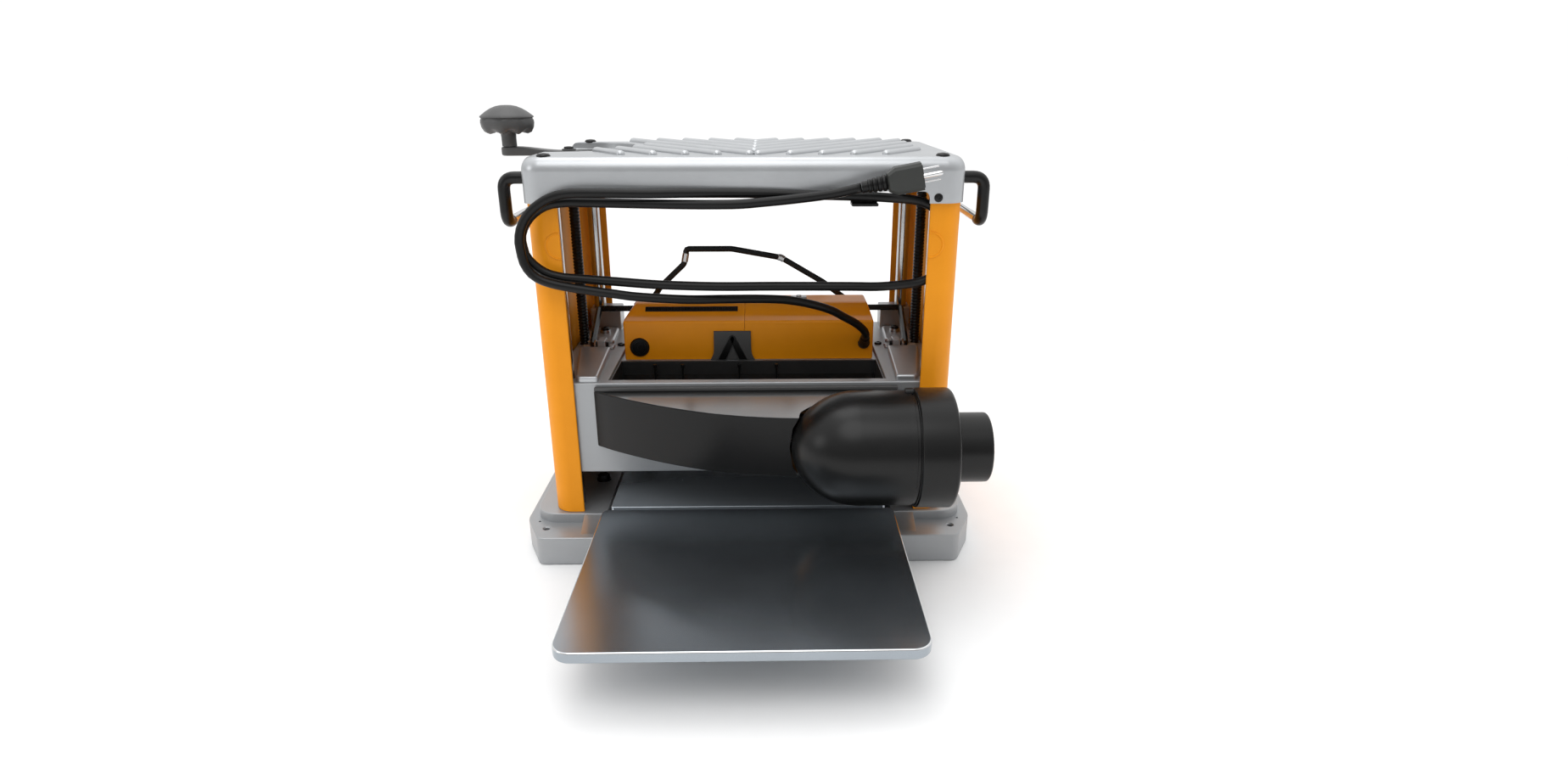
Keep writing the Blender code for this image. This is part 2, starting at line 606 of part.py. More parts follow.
def hood_outline(inset):
    """Plan of the dust hood, whose front bulges towards the outlet."""
    bulge = [(-175, -131.5), (-150, -150), (-112, -172), (-70, -192), (-28, -207), (19, -216),
             (60, -219), (100, -219), (150, -200), (175, -160), (175, -131.5)]
    if not inset:
        return bulge
    low = -125.0
    inner = [(-165, low), (-146, -148.5), (-110, -169), (-69, -188.8), (-27, -203.8), (19, -212.8),
             (60, -215.8), (99, -215.8), (147, -197.5), (172, -159), (172, low)]
    return inner


def build_hood():
    hood = add_object("dust_hood", prism(hood_outline(0), HOOD_LOW, HOOD_TOP), "black", angle=30)
    hollow = prism(hood_outline(3), HOOD_LOW + 3, HOOD_TOP - 3)
    bulb = [(0, 48 - GAP), (20, 50.5 - GAP), (37, 60 - GAP), (50, 75 - GAP), (58, 93 - GAP),
            (ELBOW_R + GAP, 118), (ELBOW_R + 3, 177), (ELBOW_R + 3, 300), (0, 300)]
    room = lathe(bulb, (0, ELBOW_Y, ELBOW_Z), "X", 32)
    combine(hood, [hollow, room])
    outer = [(0, 48), (20, 50.5), (37, 60), (50, 75), (57.5, 93), (ELBOW_R, 118), (ELBOW_R, 176.7)]
    inner = [(ELBOW_R - 3, 176.7), (ELBOW_R - 3, 118), (54.5, 95), (47, 78), (34, 63), (18, 54), (0, 52)]
    elbow = add_object("dust_elbow", lathe(outer + inner, (0, ELBOW_Y, ELBOW_Z), "X", 32), "black")
    combine(elbow, [span_box((75, 160), (-190, -140), (138, 192))])
    profile = [(CAP_R, 177), (CAP_R, 214), (CAP_R - 4, 217), (PORT_R, 217), (PORT_R, 254.7),
               (PORT_R - 3, 254.7), (PORT_R - 3, 213), (CAP_R - 7, 213), (CAP_R - 7, 177)]
    cap = lathe(profile, (0, ELBOW_Y, ELBOW_Z), "X", 32, closed=True)
    add_object("dust_port_cap", cap, "black")
    bar = add_object("hood_flange", box((-174, -136.8, 199.5), (172, -130.5, 204.5)), "grey")
    bevel(bar, 1.0, 1)


def build_controls():
    shell = add_object("switch_box", box((74, 130.3, 138), (152, 152, 202)), "grey")
    cuts = [box((100, 138, 148), (146, 160, 192)),
            cylinder((87, 0, 170), 6.6, 140, 160, "Y", 16)]
    combine(shell, cuts)
    pivot = (123, 149, 170)
    paddle = add_object("switch_paddle", box((102, 145, 150), (144, 158, 190)), "orange", pivot)
    bevel(paddle, 2, 1)
    button = cylinder((87, 0, 170), 6.0, 144, 155, "Y", 16)
    add_object("reset_button", button, "black", (87, 144, 170))
    knob = lathe([(0, 0), (6, 0), (6, 5), (15, 6), (14, 17), (0, 18)], (-200, BASE_HALF_Y + GAP, 18), "Y")
    add_object("depth_stop_knob", knob, "black", (-200, BASE_HALF_Y + GAP, 18))
    clip = box((112, -150.9, 408.0), (140, -132, 410.8))
    clip = add_object("cord_clip", clip, "black")
    combine(clip, [box((112, -136.5, 408.0), (140, -131.9, 421.7))], "UNION")


def build_cord():
    start = Vector((143.5, MOTOR_NEAR_Y - 0.5, 225))
    tip = Vector(CORD_LEAD[0])
    along = (tip - start).length - 5 * GAP
    boot = lathe([(0, 0), (8, 0), (6.2, along * 0.6), (5.6, along), (0, along)], start, tip - start, 12)
    gland = add_object("cord_gland", boot, "rubber")
    combine(gland, [box((120, MOTOR_NEAR_Y - GAP, 200), (170, 0, 260))])
    rod("cord_lead", smooth_route(CORD_LEAD, 14), CORD_R, "rubber")
    rod("cord_wrap", smooth_route(CORD_WRAP, 26), CORD_R, "rubber")
    aim = Vector(PLUG_DIRECTION).normalized()
    base = Vector(PLUG_START) + aim * GAP
    turn = aim.to_track_quat("X", "Z").to_matrix().to_4x4()
    relief = lathe([(0, 0), (5.6, 0), (8.0, 26), (0, 26)], (0, 0, 0), "X", 12)
    shape = [(26 + GAP, -9), (34, -13.5), (62, -13.5), (62, 13.5), (34, 13.5), (26 + GAP, 9)]
    grip = prism(shape, -12, 12, "Y")
    parts = [("plug_relief", relief, "rubber"), ("plug_body", grip, "rubber"),
             ("plug_blade_upper", span_box((62 + GAP, 80), (-3.2, 3.2), (5.6, 7.2)), "chrome"),
             ("plug_blade_lower", span_box((62 + GAP, 80), (-3.2, 3.2), (-7.2, -5.6)), "chrome"),
             ("plug_ground_pin", cylinder((0, -7.5, 0), 2.4, 62 + GAP, 82, "X", 10), "chrome")]
    for name, bm, finish in parts:
        bm.transform(Matrix.Translation(base) @ turn)
        add_object(name, bm, finish)


def build():
    for obj in list(bpy.data.objects):
        bpy.data.objects.remove(obj, do_unlink=True)
    build_base()
    build_bed()
    build_table("outfeed_table", -1)
    build_table("infeed_table", 1)
    build_posts()
    build_cover()
    build_crank()
    build_chain()
    build_handles()
    build_carriage()
    build_motor()
    build_cutterhead()
    build_lever()
    build_hood()
    build_controls()
    build_cord()


build()
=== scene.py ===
"""Looks of a portable thickness planer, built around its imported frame.

Sizes are in millimetres and are turned into metres where a mesh is made.
+X is to the right of the outfeed side, +Y points at the infeed side, +Z is up.
"""
import json
from math import cos, pi, radians, sin, tau

import bmesh
import bpy
from mathutils import Matrix, Vector


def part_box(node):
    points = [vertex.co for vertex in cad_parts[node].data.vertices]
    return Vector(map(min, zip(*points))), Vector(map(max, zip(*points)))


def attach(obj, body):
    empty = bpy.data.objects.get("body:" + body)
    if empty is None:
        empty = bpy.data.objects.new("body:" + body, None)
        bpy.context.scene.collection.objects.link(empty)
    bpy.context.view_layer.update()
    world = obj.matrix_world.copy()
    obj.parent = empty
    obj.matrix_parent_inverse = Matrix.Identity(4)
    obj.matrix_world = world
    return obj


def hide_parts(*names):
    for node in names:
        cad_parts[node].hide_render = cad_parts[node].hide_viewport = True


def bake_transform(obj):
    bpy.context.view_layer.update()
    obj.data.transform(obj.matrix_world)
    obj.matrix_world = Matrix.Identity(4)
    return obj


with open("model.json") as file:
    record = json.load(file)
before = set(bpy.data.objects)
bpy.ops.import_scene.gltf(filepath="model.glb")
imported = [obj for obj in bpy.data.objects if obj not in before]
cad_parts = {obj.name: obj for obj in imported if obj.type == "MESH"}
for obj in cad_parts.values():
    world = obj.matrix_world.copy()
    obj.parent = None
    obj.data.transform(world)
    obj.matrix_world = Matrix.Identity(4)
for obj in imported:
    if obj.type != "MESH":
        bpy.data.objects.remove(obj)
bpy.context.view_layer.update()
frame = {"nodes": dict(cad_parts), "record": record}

MM = 0.001
SIDES = (("left", -1), ("right", 1))
BOTH = (-1, 1)
EYE = (0.0245, -1.0306, 0.5245)
EYE_DOWN, EYE_TURN = 19.9, -1.1
SENSOR_WIDTH, LENS = 36.0, 19.18831
HINGE_Y, HINGE_Z = 173.0, 62.5
PIN_HOLE_R = 2.3


def span(node):
    """Lowest and highest corner of a CAD node, in millimetres."""
    low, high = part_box(node)
    return Vector(low) / MM, Vector(high) / MM


def middle(node):
    """Centre of a CAD node's box, in millimetres."""
    low, high = span(node)
    return (low + high) / 2


# ---------------------------------------------------------------- materials

def add_node(tree, kind, **values):
    """A shader node with its input defaults set by name."""
    made = tree.nodes.new(kind)
    for key, value in values.items():
        made.inputs[key].default_value = value
    return made


def map_range(tree, from_min, from_max, to_min, to_max):
    """A node that carries one range of values over to another."""
    return add_node(tree, "ShaderNodeMapRange", **{"From Min": from_min, "From Max": from_max,
                                                   "To Min": to_min, "To Max": to_max})


def finish(name, dark, light, rough, metallic=0.0, grain=600.0, bump=0.1, depth=0.05,
           stretch=(1, 1, 1), patch=18.0, spread=0.06, coat=0.0, specular=0.5):
    """A surface whose colour drifts in patches and whose grain moves roughness and height.

    grain and patch are noise scales per metre, depth is the grain's height in millimetres.
    """
    mat = bpy.data.materials.new(name)
    mat.use_nodes = True
    tree = mat.node_tree
    link = tree.links.new
    shader = tree.nodes["Principled BSDF"]
    shader.inputs["Metallic"].default_value = metallic
    shader.inputs["Coat Weight"].default_value = coat
    shader.inputs["Coat Roughness"].default_value = 0.18
    shader.inputs["Specular IOR Level"].default_value = specular
    place = tree.nodes.new("ShaderNodeTexCoord")
    mapping = add_node(tree, "ShaderNodeMapping", Scale=stretch)
    link(place.outputs["Object"], mapping.inputs["Vector"])
    patches = add_node(tree, "ShaderNodeTexNoise", Scale=patch, Detail=4.0, Roughness=0.6)
    link(place.outputs["Object"], patches.inputs["Vector"])
    fine = add_node(tree, "ShaderNodeTexNoise", Scale=grain, Detail=3.0, Roughness=0.55)
    link(mapping.outputs["Vector"], fine.inputs["Vector"])
    blend = add_node(tree, "ShaderNodeMath")
    blend.operation = "MULTIPLY_ADD"
    blend.inputs[1].default_value = 0.35
    link(fine.outputs["Fac"], blend.inputs[0])
    link(patches.outputs["Fac"], blend.inputs[2])
    ramp = tree.nodes.new("ShaderNodeValToRGB")
    ramp.color_ramp.elements[0].position = 0.45
    ramp.color_ramp.elements[0].color = (*dark, 1)
    ramp.color_ramp.elements[1].position = 0.9
    ramp.color_ramp.elements[1].color = (*light, 1)
    link(blend.outputs[0], ramp.inputs["Fac"])
    link(ramp.outputs["Color"], shader.inputs["Base Color"])
    gloss = map_range(tree, 0.35, 1.0, rough - spread, rough + spread)
    link(blend.outputs[0], gloss.inputs["Value"])
    link(gloss.outputs["Result"], shader.inputs["Roughness"])
    relief = add_node(tree, "ShaderNodeBump", Strength=bump, Distance=depth * MM)
    link(fine.outputs["Fac"], relief.inputs["Height"])
    link(relief.outputs["Normal"], shader.inputs["Normal"])
    return mat


def grey(value, tint=0.0):
    """A neutral colour, slightly blue where tint is above 0."""
    return (value * (1 - tint), value, value * (1 + tint))


MATERIALS = {
    "casting": finish("cast_silver", grey(0.36, 0.03), grey(0.39, 0.03), 0.38, 0.5,
                      grain=900, bump=0.30, depth=0.07, spread=0.03),
    "cover": finish("satin_silver_paint", grey(0.47, 0.03), grey(0.52, 0.03), 0.33, 0.75,
                    grain=1800, bump=0.08, depth=0.03, spread=0.02),
    "orange": finish("orange_powder_coat", (0.84, 0.30, 0.008), (0.89, 0.325, 0.011), 0.45,
                     grain=750, bump=0.14, depth=0.05, spread=0.03, specular=0.2),
    "motor": finish("orange_moulded_shell", (0.86, 0.30, 0.003), (0.92, 0.325, 0.005), 0.36,
                    grain=900, bump=0.10, depth=0.04, spread=0.03, specular=0.25),
    # Lighter, less metallic copy of the table steel for the bed, which lies in the carriage's shade:
    # painted light.
    "bed": finish("bed_steel", grey(0.50, 0.09), grey(0.52, 0.09), 0.27, 0.7,
                  grain=260, bump=0.02, depth=0.01, stretch=(14, 0.35, 1), spread=0.005),
    "steel": finish("brushed_steel", grey(0.37, 0.09), grey(0.395, 0.09), 0.23, 0.96,
                    grain=260, bump=0.05, depth=0.01, stretch=(14, 0.35, 1), spread=0.01),
    "machined": finish("machined_steel", grey(0.38, 0.01), grey(0.50, 0.01), 0.28, 1.0,
                       grain=500, bump=0.1, depth=0.03, stretch=(8, 1, 1)),
    "ground": finish("ground_steel", grey(0.42, 0.01), grey(0.50, 0.01), 0.2, 1.0,
                     grain=400, bump=0.04, depth=0.02, stretch=(1, 1, 8), spread=0.03),
    "chrome": finish("polished_chrome", grey(0.66, 0.005), grey(0.74, 0.005), 0.12, 1.0,
                     grain=300, bump=0.02, depth=0.01, spread=0.03),
    "black": finish("moulded_black", grey(0.003), grey(0.005), 0.29, 0.0,
                    grain=1300, bump=0.08, depth=0.03, specular=0.30, spread=0.02),
    # Near-black for thin sheets over the deck faces behind the flange: painted shade of that recess.
    "painted_shade": finish("tray_painted_shade", grey(0.020), grey(0.028), 0.34, 0.0,
                     grain=1100, bump=0.05, depth=0.02, specular=0.5),
    "hood": finish("moulded_black_gloss", grey(0.003), grey(0.005), 0.26, 0.0,
                   grain=1100, bump=0.03, depth=0.02, specular=0.26, spread=0.015),
    # Lighter, glossier copy of the hood's black plastic for its top face: painted sheen.
    "hood_top_sheen": finish("moulded_black_hood_sheen", grey(0.040), grey(0.048), 0.2, 0.0,
                  grain=1100, bump=0.03, depth=0.02, specular=1.0, coat=1.0, spread=0.015),
    "grey": finish("moulded_grey", grey(0.062), grey(0.078), 0.42, 0.0,
                   grain=1200, bump=0.16, depth=0.05, specular=0.4, spread=0.04),
    "rubber": finish("rubber_sheath", grey(0.004), grey(0.007), 0.36, 0.0,
                     grain=800, bump=0.12, depth=0.04, specular=0.24, spread=0.04),
    "plug": finish("charcoal_plug", (0.030, 0.032, 0.030), (0.038, 0.040, 0.037), 0.55, 0.0,
                   grain=1500, bump=0.25, depth=0.04, specular=0.35),
    "oxide": finish("black_oxide_steel", grey(0.008), grey(0.014), 0.30, 0.5,
                    grain=700, bump=0.12, depth=0.03),
    "brass": finish("turned_brass", (0.62, 0.42, 0.15), (0.74, 0.52, 0.21), 0.28, 1.0,
                    grain=500, bump=0.1, depth=0.03),
    "mark": finish("red_marker", (0.50, 0.02, 0.015), (0.62, 0.03, 0.02), 0.4,
                   grain=900, bump=0.1),
    "paper": finish("printed_scale", grey(0.62), grey(0.72), 0.5, grain=900, bump=0.1),
}


# ------------------------------------------------------------ shape helpers

def place(u, v, w, axis):
    """Outline coordinates (u, v) and the distance w along the extrusion axis."""
    return {"Z": (u, v, w), "X": (w, u, v), "Y": (u, w, v)}[axis]


def arc(cx, cy, radius, start, end, steps):
    """Points on a circular arc, both ends included, with angles in degrees."""
    points = []
    for i in range(steps + 1):
        a = radians(start + (end - start) * i / steps)
        points.append((cx + radius * cos(a), cy + radius * sin(a)))
    return points


def round_rect(x0, y0, x1, y1, radius, steps=6):
    """A rectangle outline with rounded corners."""
    return (arc(x1 - radius, y0 + radius, radius, -90, 0, steps)
            + arc(x1 - radius, y1 - radius, radius, 0, 90, steps)
            + arc(x0 + radius, y1 - radius, radius, 90, 180, steps)
            + arc(x0 + radius, y0 + radius, radius, 180, 270, steps))


def round_corners(outline, radius):
    """The outline with a short curve in place of each corner."""
    rounded = []
    for i, point in enumerate(outline):
        corner = Vector(point)
        back = (Vector(outline[i - 1]) - corner).normalized() * radius
        on = (Vector(outline[(i + 1) % len(outline)]) - corner).normalized() * radius
        rounded += [tuple(corner + back * (1 - t) ** 2 + on * t ** 2) for t in (0, 0.25, 0.5, 0.75, 1)]
    return rounded


def loft(rings):
    """A closed mesh through rings of 3-D points that all have the same count."""
    bm = bmesh.new()
    rows = [[bm.verts.new(p) for p in ring] for ring in rings]
    bm.faces.new(rows[0])
    bm.faces.new(rows[-1])
    count = len(rows[0])
    for a, b in zip(rows, rows[1:]):
        for i in range(count):
            j = (i + 1) % count
            bm.faces.new((a[i], a[j], b[j], b[i]))
    return bm


def inset(outline, distance):
    """The outline moved inwards by a distance, corner by corner."""
    count = len(outline)
    area = sum(outline[i - 1][0] * outline[i][1] - outline[i][0] * outline[i - 1][1]
               for i in range(count))
    turn = 1 if area > 0 else -1
    moved = []
    for i, point in enumerate(outline):
        before = Vector(point) - Vector(outline[i - 1])
        after = Vector(outline[(i + 1) % count]) - Vector(point)
        a = Vector((-before.y, before.x)).normalized() * turn
        b = Vector((-after.y, after.x)).normalized() * turn
        mid = (a + b).normalized()
        moved.append(tuple(Vector(point) + mid * distance / max(0.35, mid.dot(a))))
    return moved


def soft_prism(outline, low, high, edge=1.0, axis="Z", steps=3, ends=(True, True)):
    """A prism whose bottom and top edges are rounded with the radius edge."""
    rows = []
    turns = [radians(90 * k / steps) for k in range(steps + 1)]
    if ends[0]:
        rows += [(edge * (1 - sin(a)), low + edge * (1 - cos(a))) for a in turns]
    else:
        rows.append((0, low))
    if ends[1]:
        rows += [(edge * (1 - sin(a)), high - edge * (1 - cos(a))) for a in turns[::-1]]
    else:
        rows.append((0, high))
    return loft([[place(u, v, w, axis) for u, v in inset(outline, d)] for d, w in rows])


def soft_box(low, high, edge=1.0, corner=None, axis="Z"):
    """A block between two corners with rounded edges; corner rounds the outline."""
    drop = "XYZ".index(axis)
    keep = [i for i in range(3) if i != drop]
    radius = corner or edge * 1.2
    outline = round_rect(low[keep[0]], low[keep[1]], high[keep[0]], high[keep[1]], radius, 3)
    return soft_prism(outline, low[drop], high[drop], edge, axis)


def side_box(s, x, y, z, edge=1.0, corner=None, axis="Z"):
    """A soft block given by (low, high) pairs, with x mirrored when s is -1."""
    x = sorted((s * x[0], s * x[1]))
    return soft_box((x[0], y[0], z[0]), (x[1], y[1], z[1]), edge, corner, axis)


def lathe(profile, centre, axis="Z", steps=64, closed=False, lobes=None):
    """Revolve (radius, height) points; lobes(angle, radius, height) may reshape them."""
    bm = bmesh.new()
    rings = []
    for radius, height in profile:
        if radius == 0:
            rings.append([bm.verts.new((0, 0, height))])
            continue
        ring = []
        for i in range(steps):
            a = tau * i / steps
            r, h = lobes(a, radius, height) if lobes else (radius, height)
            ring.append(bm.verts.new((r * cos(a), r * sin(a), h)))
        rings.append(ring)
    pairs = list(zip(rings, rings[1:]))
    if closed:
        pairs.append((rings[-1], rings[0]))
    for a, b in pairs:
        for i in range(steps):
            j = (i + 1) % steps
            corners = [a[i % len(a)], a[j % len(a)], b[j % len(b)], b[i % len(b)]]
            corners = list(dict.fromkeys(corners))
            if len(corners) > 2:
                bm.faces.new(corners)
    turn = {"Z": Matrix(), "X": Matrix.Rotation(pi / 2, 4, "Y"),
            "Y": Matrix.Rotation(-pi / 2, 4, "X")}
    aim = turn[axis] if isinstance(axis, str) else axis.to_track_quat("Z", "Y").to_matrix().to_4x4()
    bm.transform(Matrix.Translation(centre) @ aim)
    return bm


def drum(centre, radius, low, high, axis="Z", edge=0.6, steps=48):
    """A turned disc or bar with rounded ends."""
    profile = [(0, low), (radius - edge, low), (radius - edge * 0.3, low + edge * 0.3),
               (radius, low + edge), (radius, high - edge),
               (radius - edge * 0.3, high - edge * 0.3), (radius - edge, high), (0, high)]
    return lathe(profile, centre, axis, steps)


def tube(centre, inner, outer, low, high, axis="Z", edge=0.8, steps=64):
    """A turned ring with rounded outer edges."""
    profile = [(inner, low), (outer - edge, low), (outer, low + edge), (outer, high - edge),
               (outer - edge, high), (inner, high)]
    return lathe(profile, centre, axis, steps, closed=True)


def fillet(points, radius, steps=6):
    """A polyline whose inner corners are replaced by short curves."""
    path = [Vector(points[0])]
    for before, corner, after in zip(points, points[1:], points[2:]):
        corner = Vector(corner)
        back = (Vector(before) - corner).normalized() * radius
        on = (Vector(after) - corner).normalized() * radius
        for i in range(steps + 1):
            t = i / steps
            path.append(corner + back * (1 - t) ** 2 + on * t ** 2)
    path.append(Vector(points[-1]))
    return path


def sweep(path, radius, sides=20, end=0.0, roll=0.0):
    """A bar of round or many-sided section along a path; end rounds its two tips."""
    path = [Vector(p) for p in path]
    radii = [radius] * len(path)
    if end:
        first = (path[0] - path[1]).normalized() * end
        last = (path[-1] - path[-2]).normalized() * end
        path = [path[0], path[0] - first] + path[1:-1] + [path[-1] - last, path[-1]]
        radii = [radius - end] + [radius] * (len(path) - 2) + [radius - end]
    heading = (path[1] - path[0]).normalized()
    side = heading.orthogonal().normalized()
    rings = []
    for i, point in enumerate(path):
        ahead = path[min(i + 1, len(path) - 1)] - path[max(i - 1, 0)]
        ahead.normalize()
        side = (heading.rotation_difference(ahead) @ side).normalized()
        heading = ahead
        up = heading.cross(side)
        rings.append([point + radii[i] * (side * cos(roll + tau * k / sides)
                                          + up * sin(roll + tau * k / sides))
                      for k in range(sides)])
    return loft(rings)


def capsule(start, stop, radius, sides=16, caps=5):
    """A bar with hemispherical ends."""
    start, stop = Vector(start), Vector(stop)
    length = (stop - start).length
    profile = [(0, -radius)]
    for k in range(1, caps + 1):
        a = radians(90 * k / caps)
        profile.append((radius * sin(a), -radius * cos(a)))
    for k in range(caps):
        a = radians(90 * k / caps)
        profile.append((radius * cos(a), length + radius * sin(a)))
    profile.append((0, length + radius))
    return lathe(profile, start, stop - start, sides)


def merged(parts):
    """Several meshes as one, each still a closed body of its own."""
    whole = bmesh.new()
    for part in parts:
        mesh = bpy.data.meshes.new("part")
        part.to_mesh(mesh)
        part.free()
        whole.from_mesh(mesh)
        bpy.data.meshes.remove(mesh)
    return whole


def in_scene(name, data):
    """An object in the scene that shows the given mesh, lamp or camera."""
    obj = bpy.data.objects.new(name, data)
    bpy.context.scene.collection.objects.link(obj)
    return obj


def new_object(name, parts):
    """An object in metres from meshes in millimetres."""
    bm = merged(parts if isinstance(parts, list) else [parts])
    for v in bm.verts:
        v.co *= MM
    bmesh.ops.recalc_face_normals(bm, faces=bm.faces)
    mesh = bpy.data.meshes.new(name)
    bm.to_mesh(mesh)
    bm.free()
    return in_scene(name, mesh)


def carve(obj, tools, operation="DIFFERENCE"):
    """Apply exact Booleans with a list of meshes in millimetres."""
    for tool in tools:
        cutter = new_object("cutter", tool)
        mod = obj.modifiers.new("cut", "BOOLEAN")
        mod.operation = operation
        mod.solver = "EXACT"
        mod.object = cutter
        graph = bpy.context.evaluated_depsgraph_get()
        mesh = bpy.data.meshes.new_from_object(obj.evaluated_get(graph))
        obj.modifiers.clear()
        old, obj.data = obj.data, mesh
        mesh.name = obj.name
        bpy.data.meshes.remove(old)
        bpy.data.objects.remove(cutter)
    return obj


def dress(obj, look, body, replaced=(), sharp=38):
    """Give a piece its shading, material and body."""
    obj.data.shade_smooth()
    obj.data.set_sharp_from_angle(angle=radians(sharp))
    flat = obj.modifiers.new("flat_faces", "WEIGHTED_NORMAL")
    flat.keep_sharp = True
    if not obj.data.materials:
        obj.data.materials.append(MATERIALS[look])
    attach(obj, body)
    if replaced:
        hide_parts(*replaced)
    return obj


def two_tone(obj, main, accent, is_accent):
    """Give the faces that pass the test a second material."""
    obj.data.materials.clear()
    for look in (main, accent):
        obj.data.materials.append(MATERIALS[look])
    for face in obj.data.polygons:
        face.material_index = int(is_accent(face))


def piece(name, parts, look, body, replaced=(), sharp=38):
    """A finished piece from meshes in millimetres."""
    return dress(new_object(name, parts), look, body, replaced, sharp)


def refine(node, width, look, body, segments=2, angle=32):
    """A CAD node's own shape again, with its sharp edges rounded."""
    bm = bmesh.new()
    bm.from_mesh(frame["nodes"][node].data)
    bmesh.ops.remove_doubles(bm, verts=bm.verts, dist=1e-6)
    bmesh.ops.dissolve_limit(bm, angle_limit=radians(0.8), verts=bm.verts, edges=bm.edges)
    mesh = bpy.data.meshes.new(f"{node}_fine")
    bm.to_mesh(mesh)
    bm.free()
    obj = in_scene(f"{node}_fine", mesh)
    mod = obj.modifiers.new("round_edges", "BEVEL")
    mod.width = width * MM
    mod.segments = segments
    mod.limit_method = "ANGLE"
    mod.angle_limit = radians(angle)
    mod.use_clamp_overlap = False
    return dress(obj, look, body, (node,), 30)


# ------------------------------------------------------- camera, light, floor

def light_world(tree):
    """A white room, brighter overhead and dimmer behind the viewer, whose walls look white."""
    link = tree.links.new
    place = tree.nodes.new("ShaderNodeTexCoord")
    axes = tree.nodes.new("ShaderNodeSeparateXYZ")
    link(place.outputs["Generated"], axes.inputs["Vector"])
    height = map_range(tree, 0.0, 0.9, 0.62, 1.5)
    link(axes.outputs["Z"], height.inputs["Value"])
    front = map_range(tree, -0.9, 0.1, 0.5, 1.0)
    link(axes.outputs["Y"], front.inputs["Value"])
    strength = tree.nodes.new("ShaderNodeMath")
    strength.operation = "MULTIPLY"
    link(height.outputs["Result"], strength.inputs[0])
    link(front.outputs["Result"], strength.inputs[1])
    room = tree.nodes["Background"]
    room.inputs["Color"].default_value = (1, 1, 1, 1)
    link(strength.outputs[0], room.inputs["Strength"])
    wall = add_node(tree, "ShaderNodeBackground", Color=(1, 1, 1, 1), Strength=1.02)
    seen = tree.nodes.new("ShaderNodeLightPath")
    mix = tree.nodes.new("ShaderNodeMixShader")
    link(seen.outputs["Is Camera Ray"], mix.inputs["Fac"])
    link(room.outputs["Background"], mix.inputs[1])
    link(wall.outputs["Background"], mix.inputs[2])
    link(mix.outputs["Shader"], tree.nodes["World Output"].inputs["Surface"])


def build_stage():
    camera = bpy.data.cameras.new("camera")
    camera.sensor_width = SENSOR_WIDTH
    camera.lens = LENS
    camera.clip_start = 0.01
    camera.clip_end = 60.0
    eye = in_scene("camera", camera)
    eye.location = EYE
    eye.rotation_euler = (radians(90 - EYE_DOWN), 0, radians(EYE_TURN))
    bpy.context.scene.camera = eye
    bpy.context.scene.view_settings.view_transform = "Standard"
    world = bpy.data.worlds.new("studio")
    world.use_nodes = True
    light_world(world.node_tree)
    bpy.context.scene.world = world
    lamps = (("overhead", (-0.3, 0.3, 2.4), (0, 0, 0.2), 1.4, 8.0),
             ("front_top", (-0.2, -1.3, 2.1), (0, 0, 0.4), 1.6, 11.0),
             ("left", (-2.0, -0.9, 1.0), (0, 0, 0.2), 0.8, 3.0))
    for name, where, target, size, power in lamps:
        light = bpy.data.lights.new(name, "AREA")
        light.shape = "DISK"
        light.size = size
        light.energy = power
        lamp = in_scene(name, light)
        lamp.location = where
        lamp.rotation_euler = (Vector(target) - Vector(where)).to_track_quat("-Z", "Y").to_euler()
    disc = arc(0, 0, 9000, 0, 360, 96)[:-1]
    floor = new_object("floor", loft([[(x, y, z) for x, y in disc] for z in (-12.0, -0.2)]))
    floor.data.materials.append(finish("pale_floor", grey(0.93), grey(0.95), 0.8,
                                       grain=30, bump=0.0, spread=0.02, specular=0.1))


# --------------------------------------------------------------------- cord

CORD_R = 4.9
CORD_LEAD = [
    (143.5, -43.5, 236), (143.4, -48.2, 240), (140, -53.5, 247.5), (129, -60, 258),
    (114, -68, 268), (98, -79, 279),
    (76, -92, 289), (47, -106, 298), (14, -120, 303), (-25, -133, 306), (-65, -142, 308),
    (-115, -150, 313), (-140, -152.5, 317),
]
CORD_WRAP = [
    (-165, -154, 321), (-201, -155.5, 328), (-221, -155.5, 336),
    (-231, -155.5, 349), (-234, -155.5, 366), (-234, -155.5, 377), (-230, -155.5, 390),
    (-222, -155.5, 402), (-210, -155.5, 412), (-196, -155.5, 419), (-180, -155.5, 422.5),
    (-153, -155.5, 423), (-102, -153, 422), (-62, -149.5, 422), (-15, -146, 421.5),
    (20, -145.8, 421), (64, -145.8, 419.5), (104, -145.8, 418.5), (132, -145.6, 417.5),
    (150, -142, 416), (166, -134.5, 414), (179, -128, 412), (191, -126.3, 409),
    (203, -127, 402.5), (213, -124, 390), (219.5, -118.5, 373), (219.5, -118.5, 358),
    (213, -124, 341), (203, -127, 328.5), (191, -126.3, 322.5), (178, -128.5, 321),
    (162, -135.5, 321), (140, -143, 321.5), (111, -145.4, 322.5),
    (30, -145.4, 323), (-31, -145.4, 323), (-90, -145.4, 325), (-141, -145.4, 329),
    (-178, -145.4, 332), (-197, -145.4, 334), (-215, -145.4, 340), (-230, -145.4, 354),
    (-234, -145.4, 368), (-234, -145.4, 379), (-228, -145.4, 391.5), (-218, -145.4, 402),
    (-204, -145.4, 409.5), (-186, -145.4, 412.3), (-165, -145.4, 412.2), (-106, -147.5, 411),
    (-62, -151, 410.6), (-32, -154, 410.8), (-4, -156, 411.5), (20, -156.5, 413.5),
    (53, -158.5, 417), (91, -161.6, 422.3), (120, -164.6, 429),
]
PLUG_START, PLUG_DIRECTION = (120, -164.6, 429), (1.0, -0.08, 0.2)
GLAND_START = (143.5, -30.5, 225)


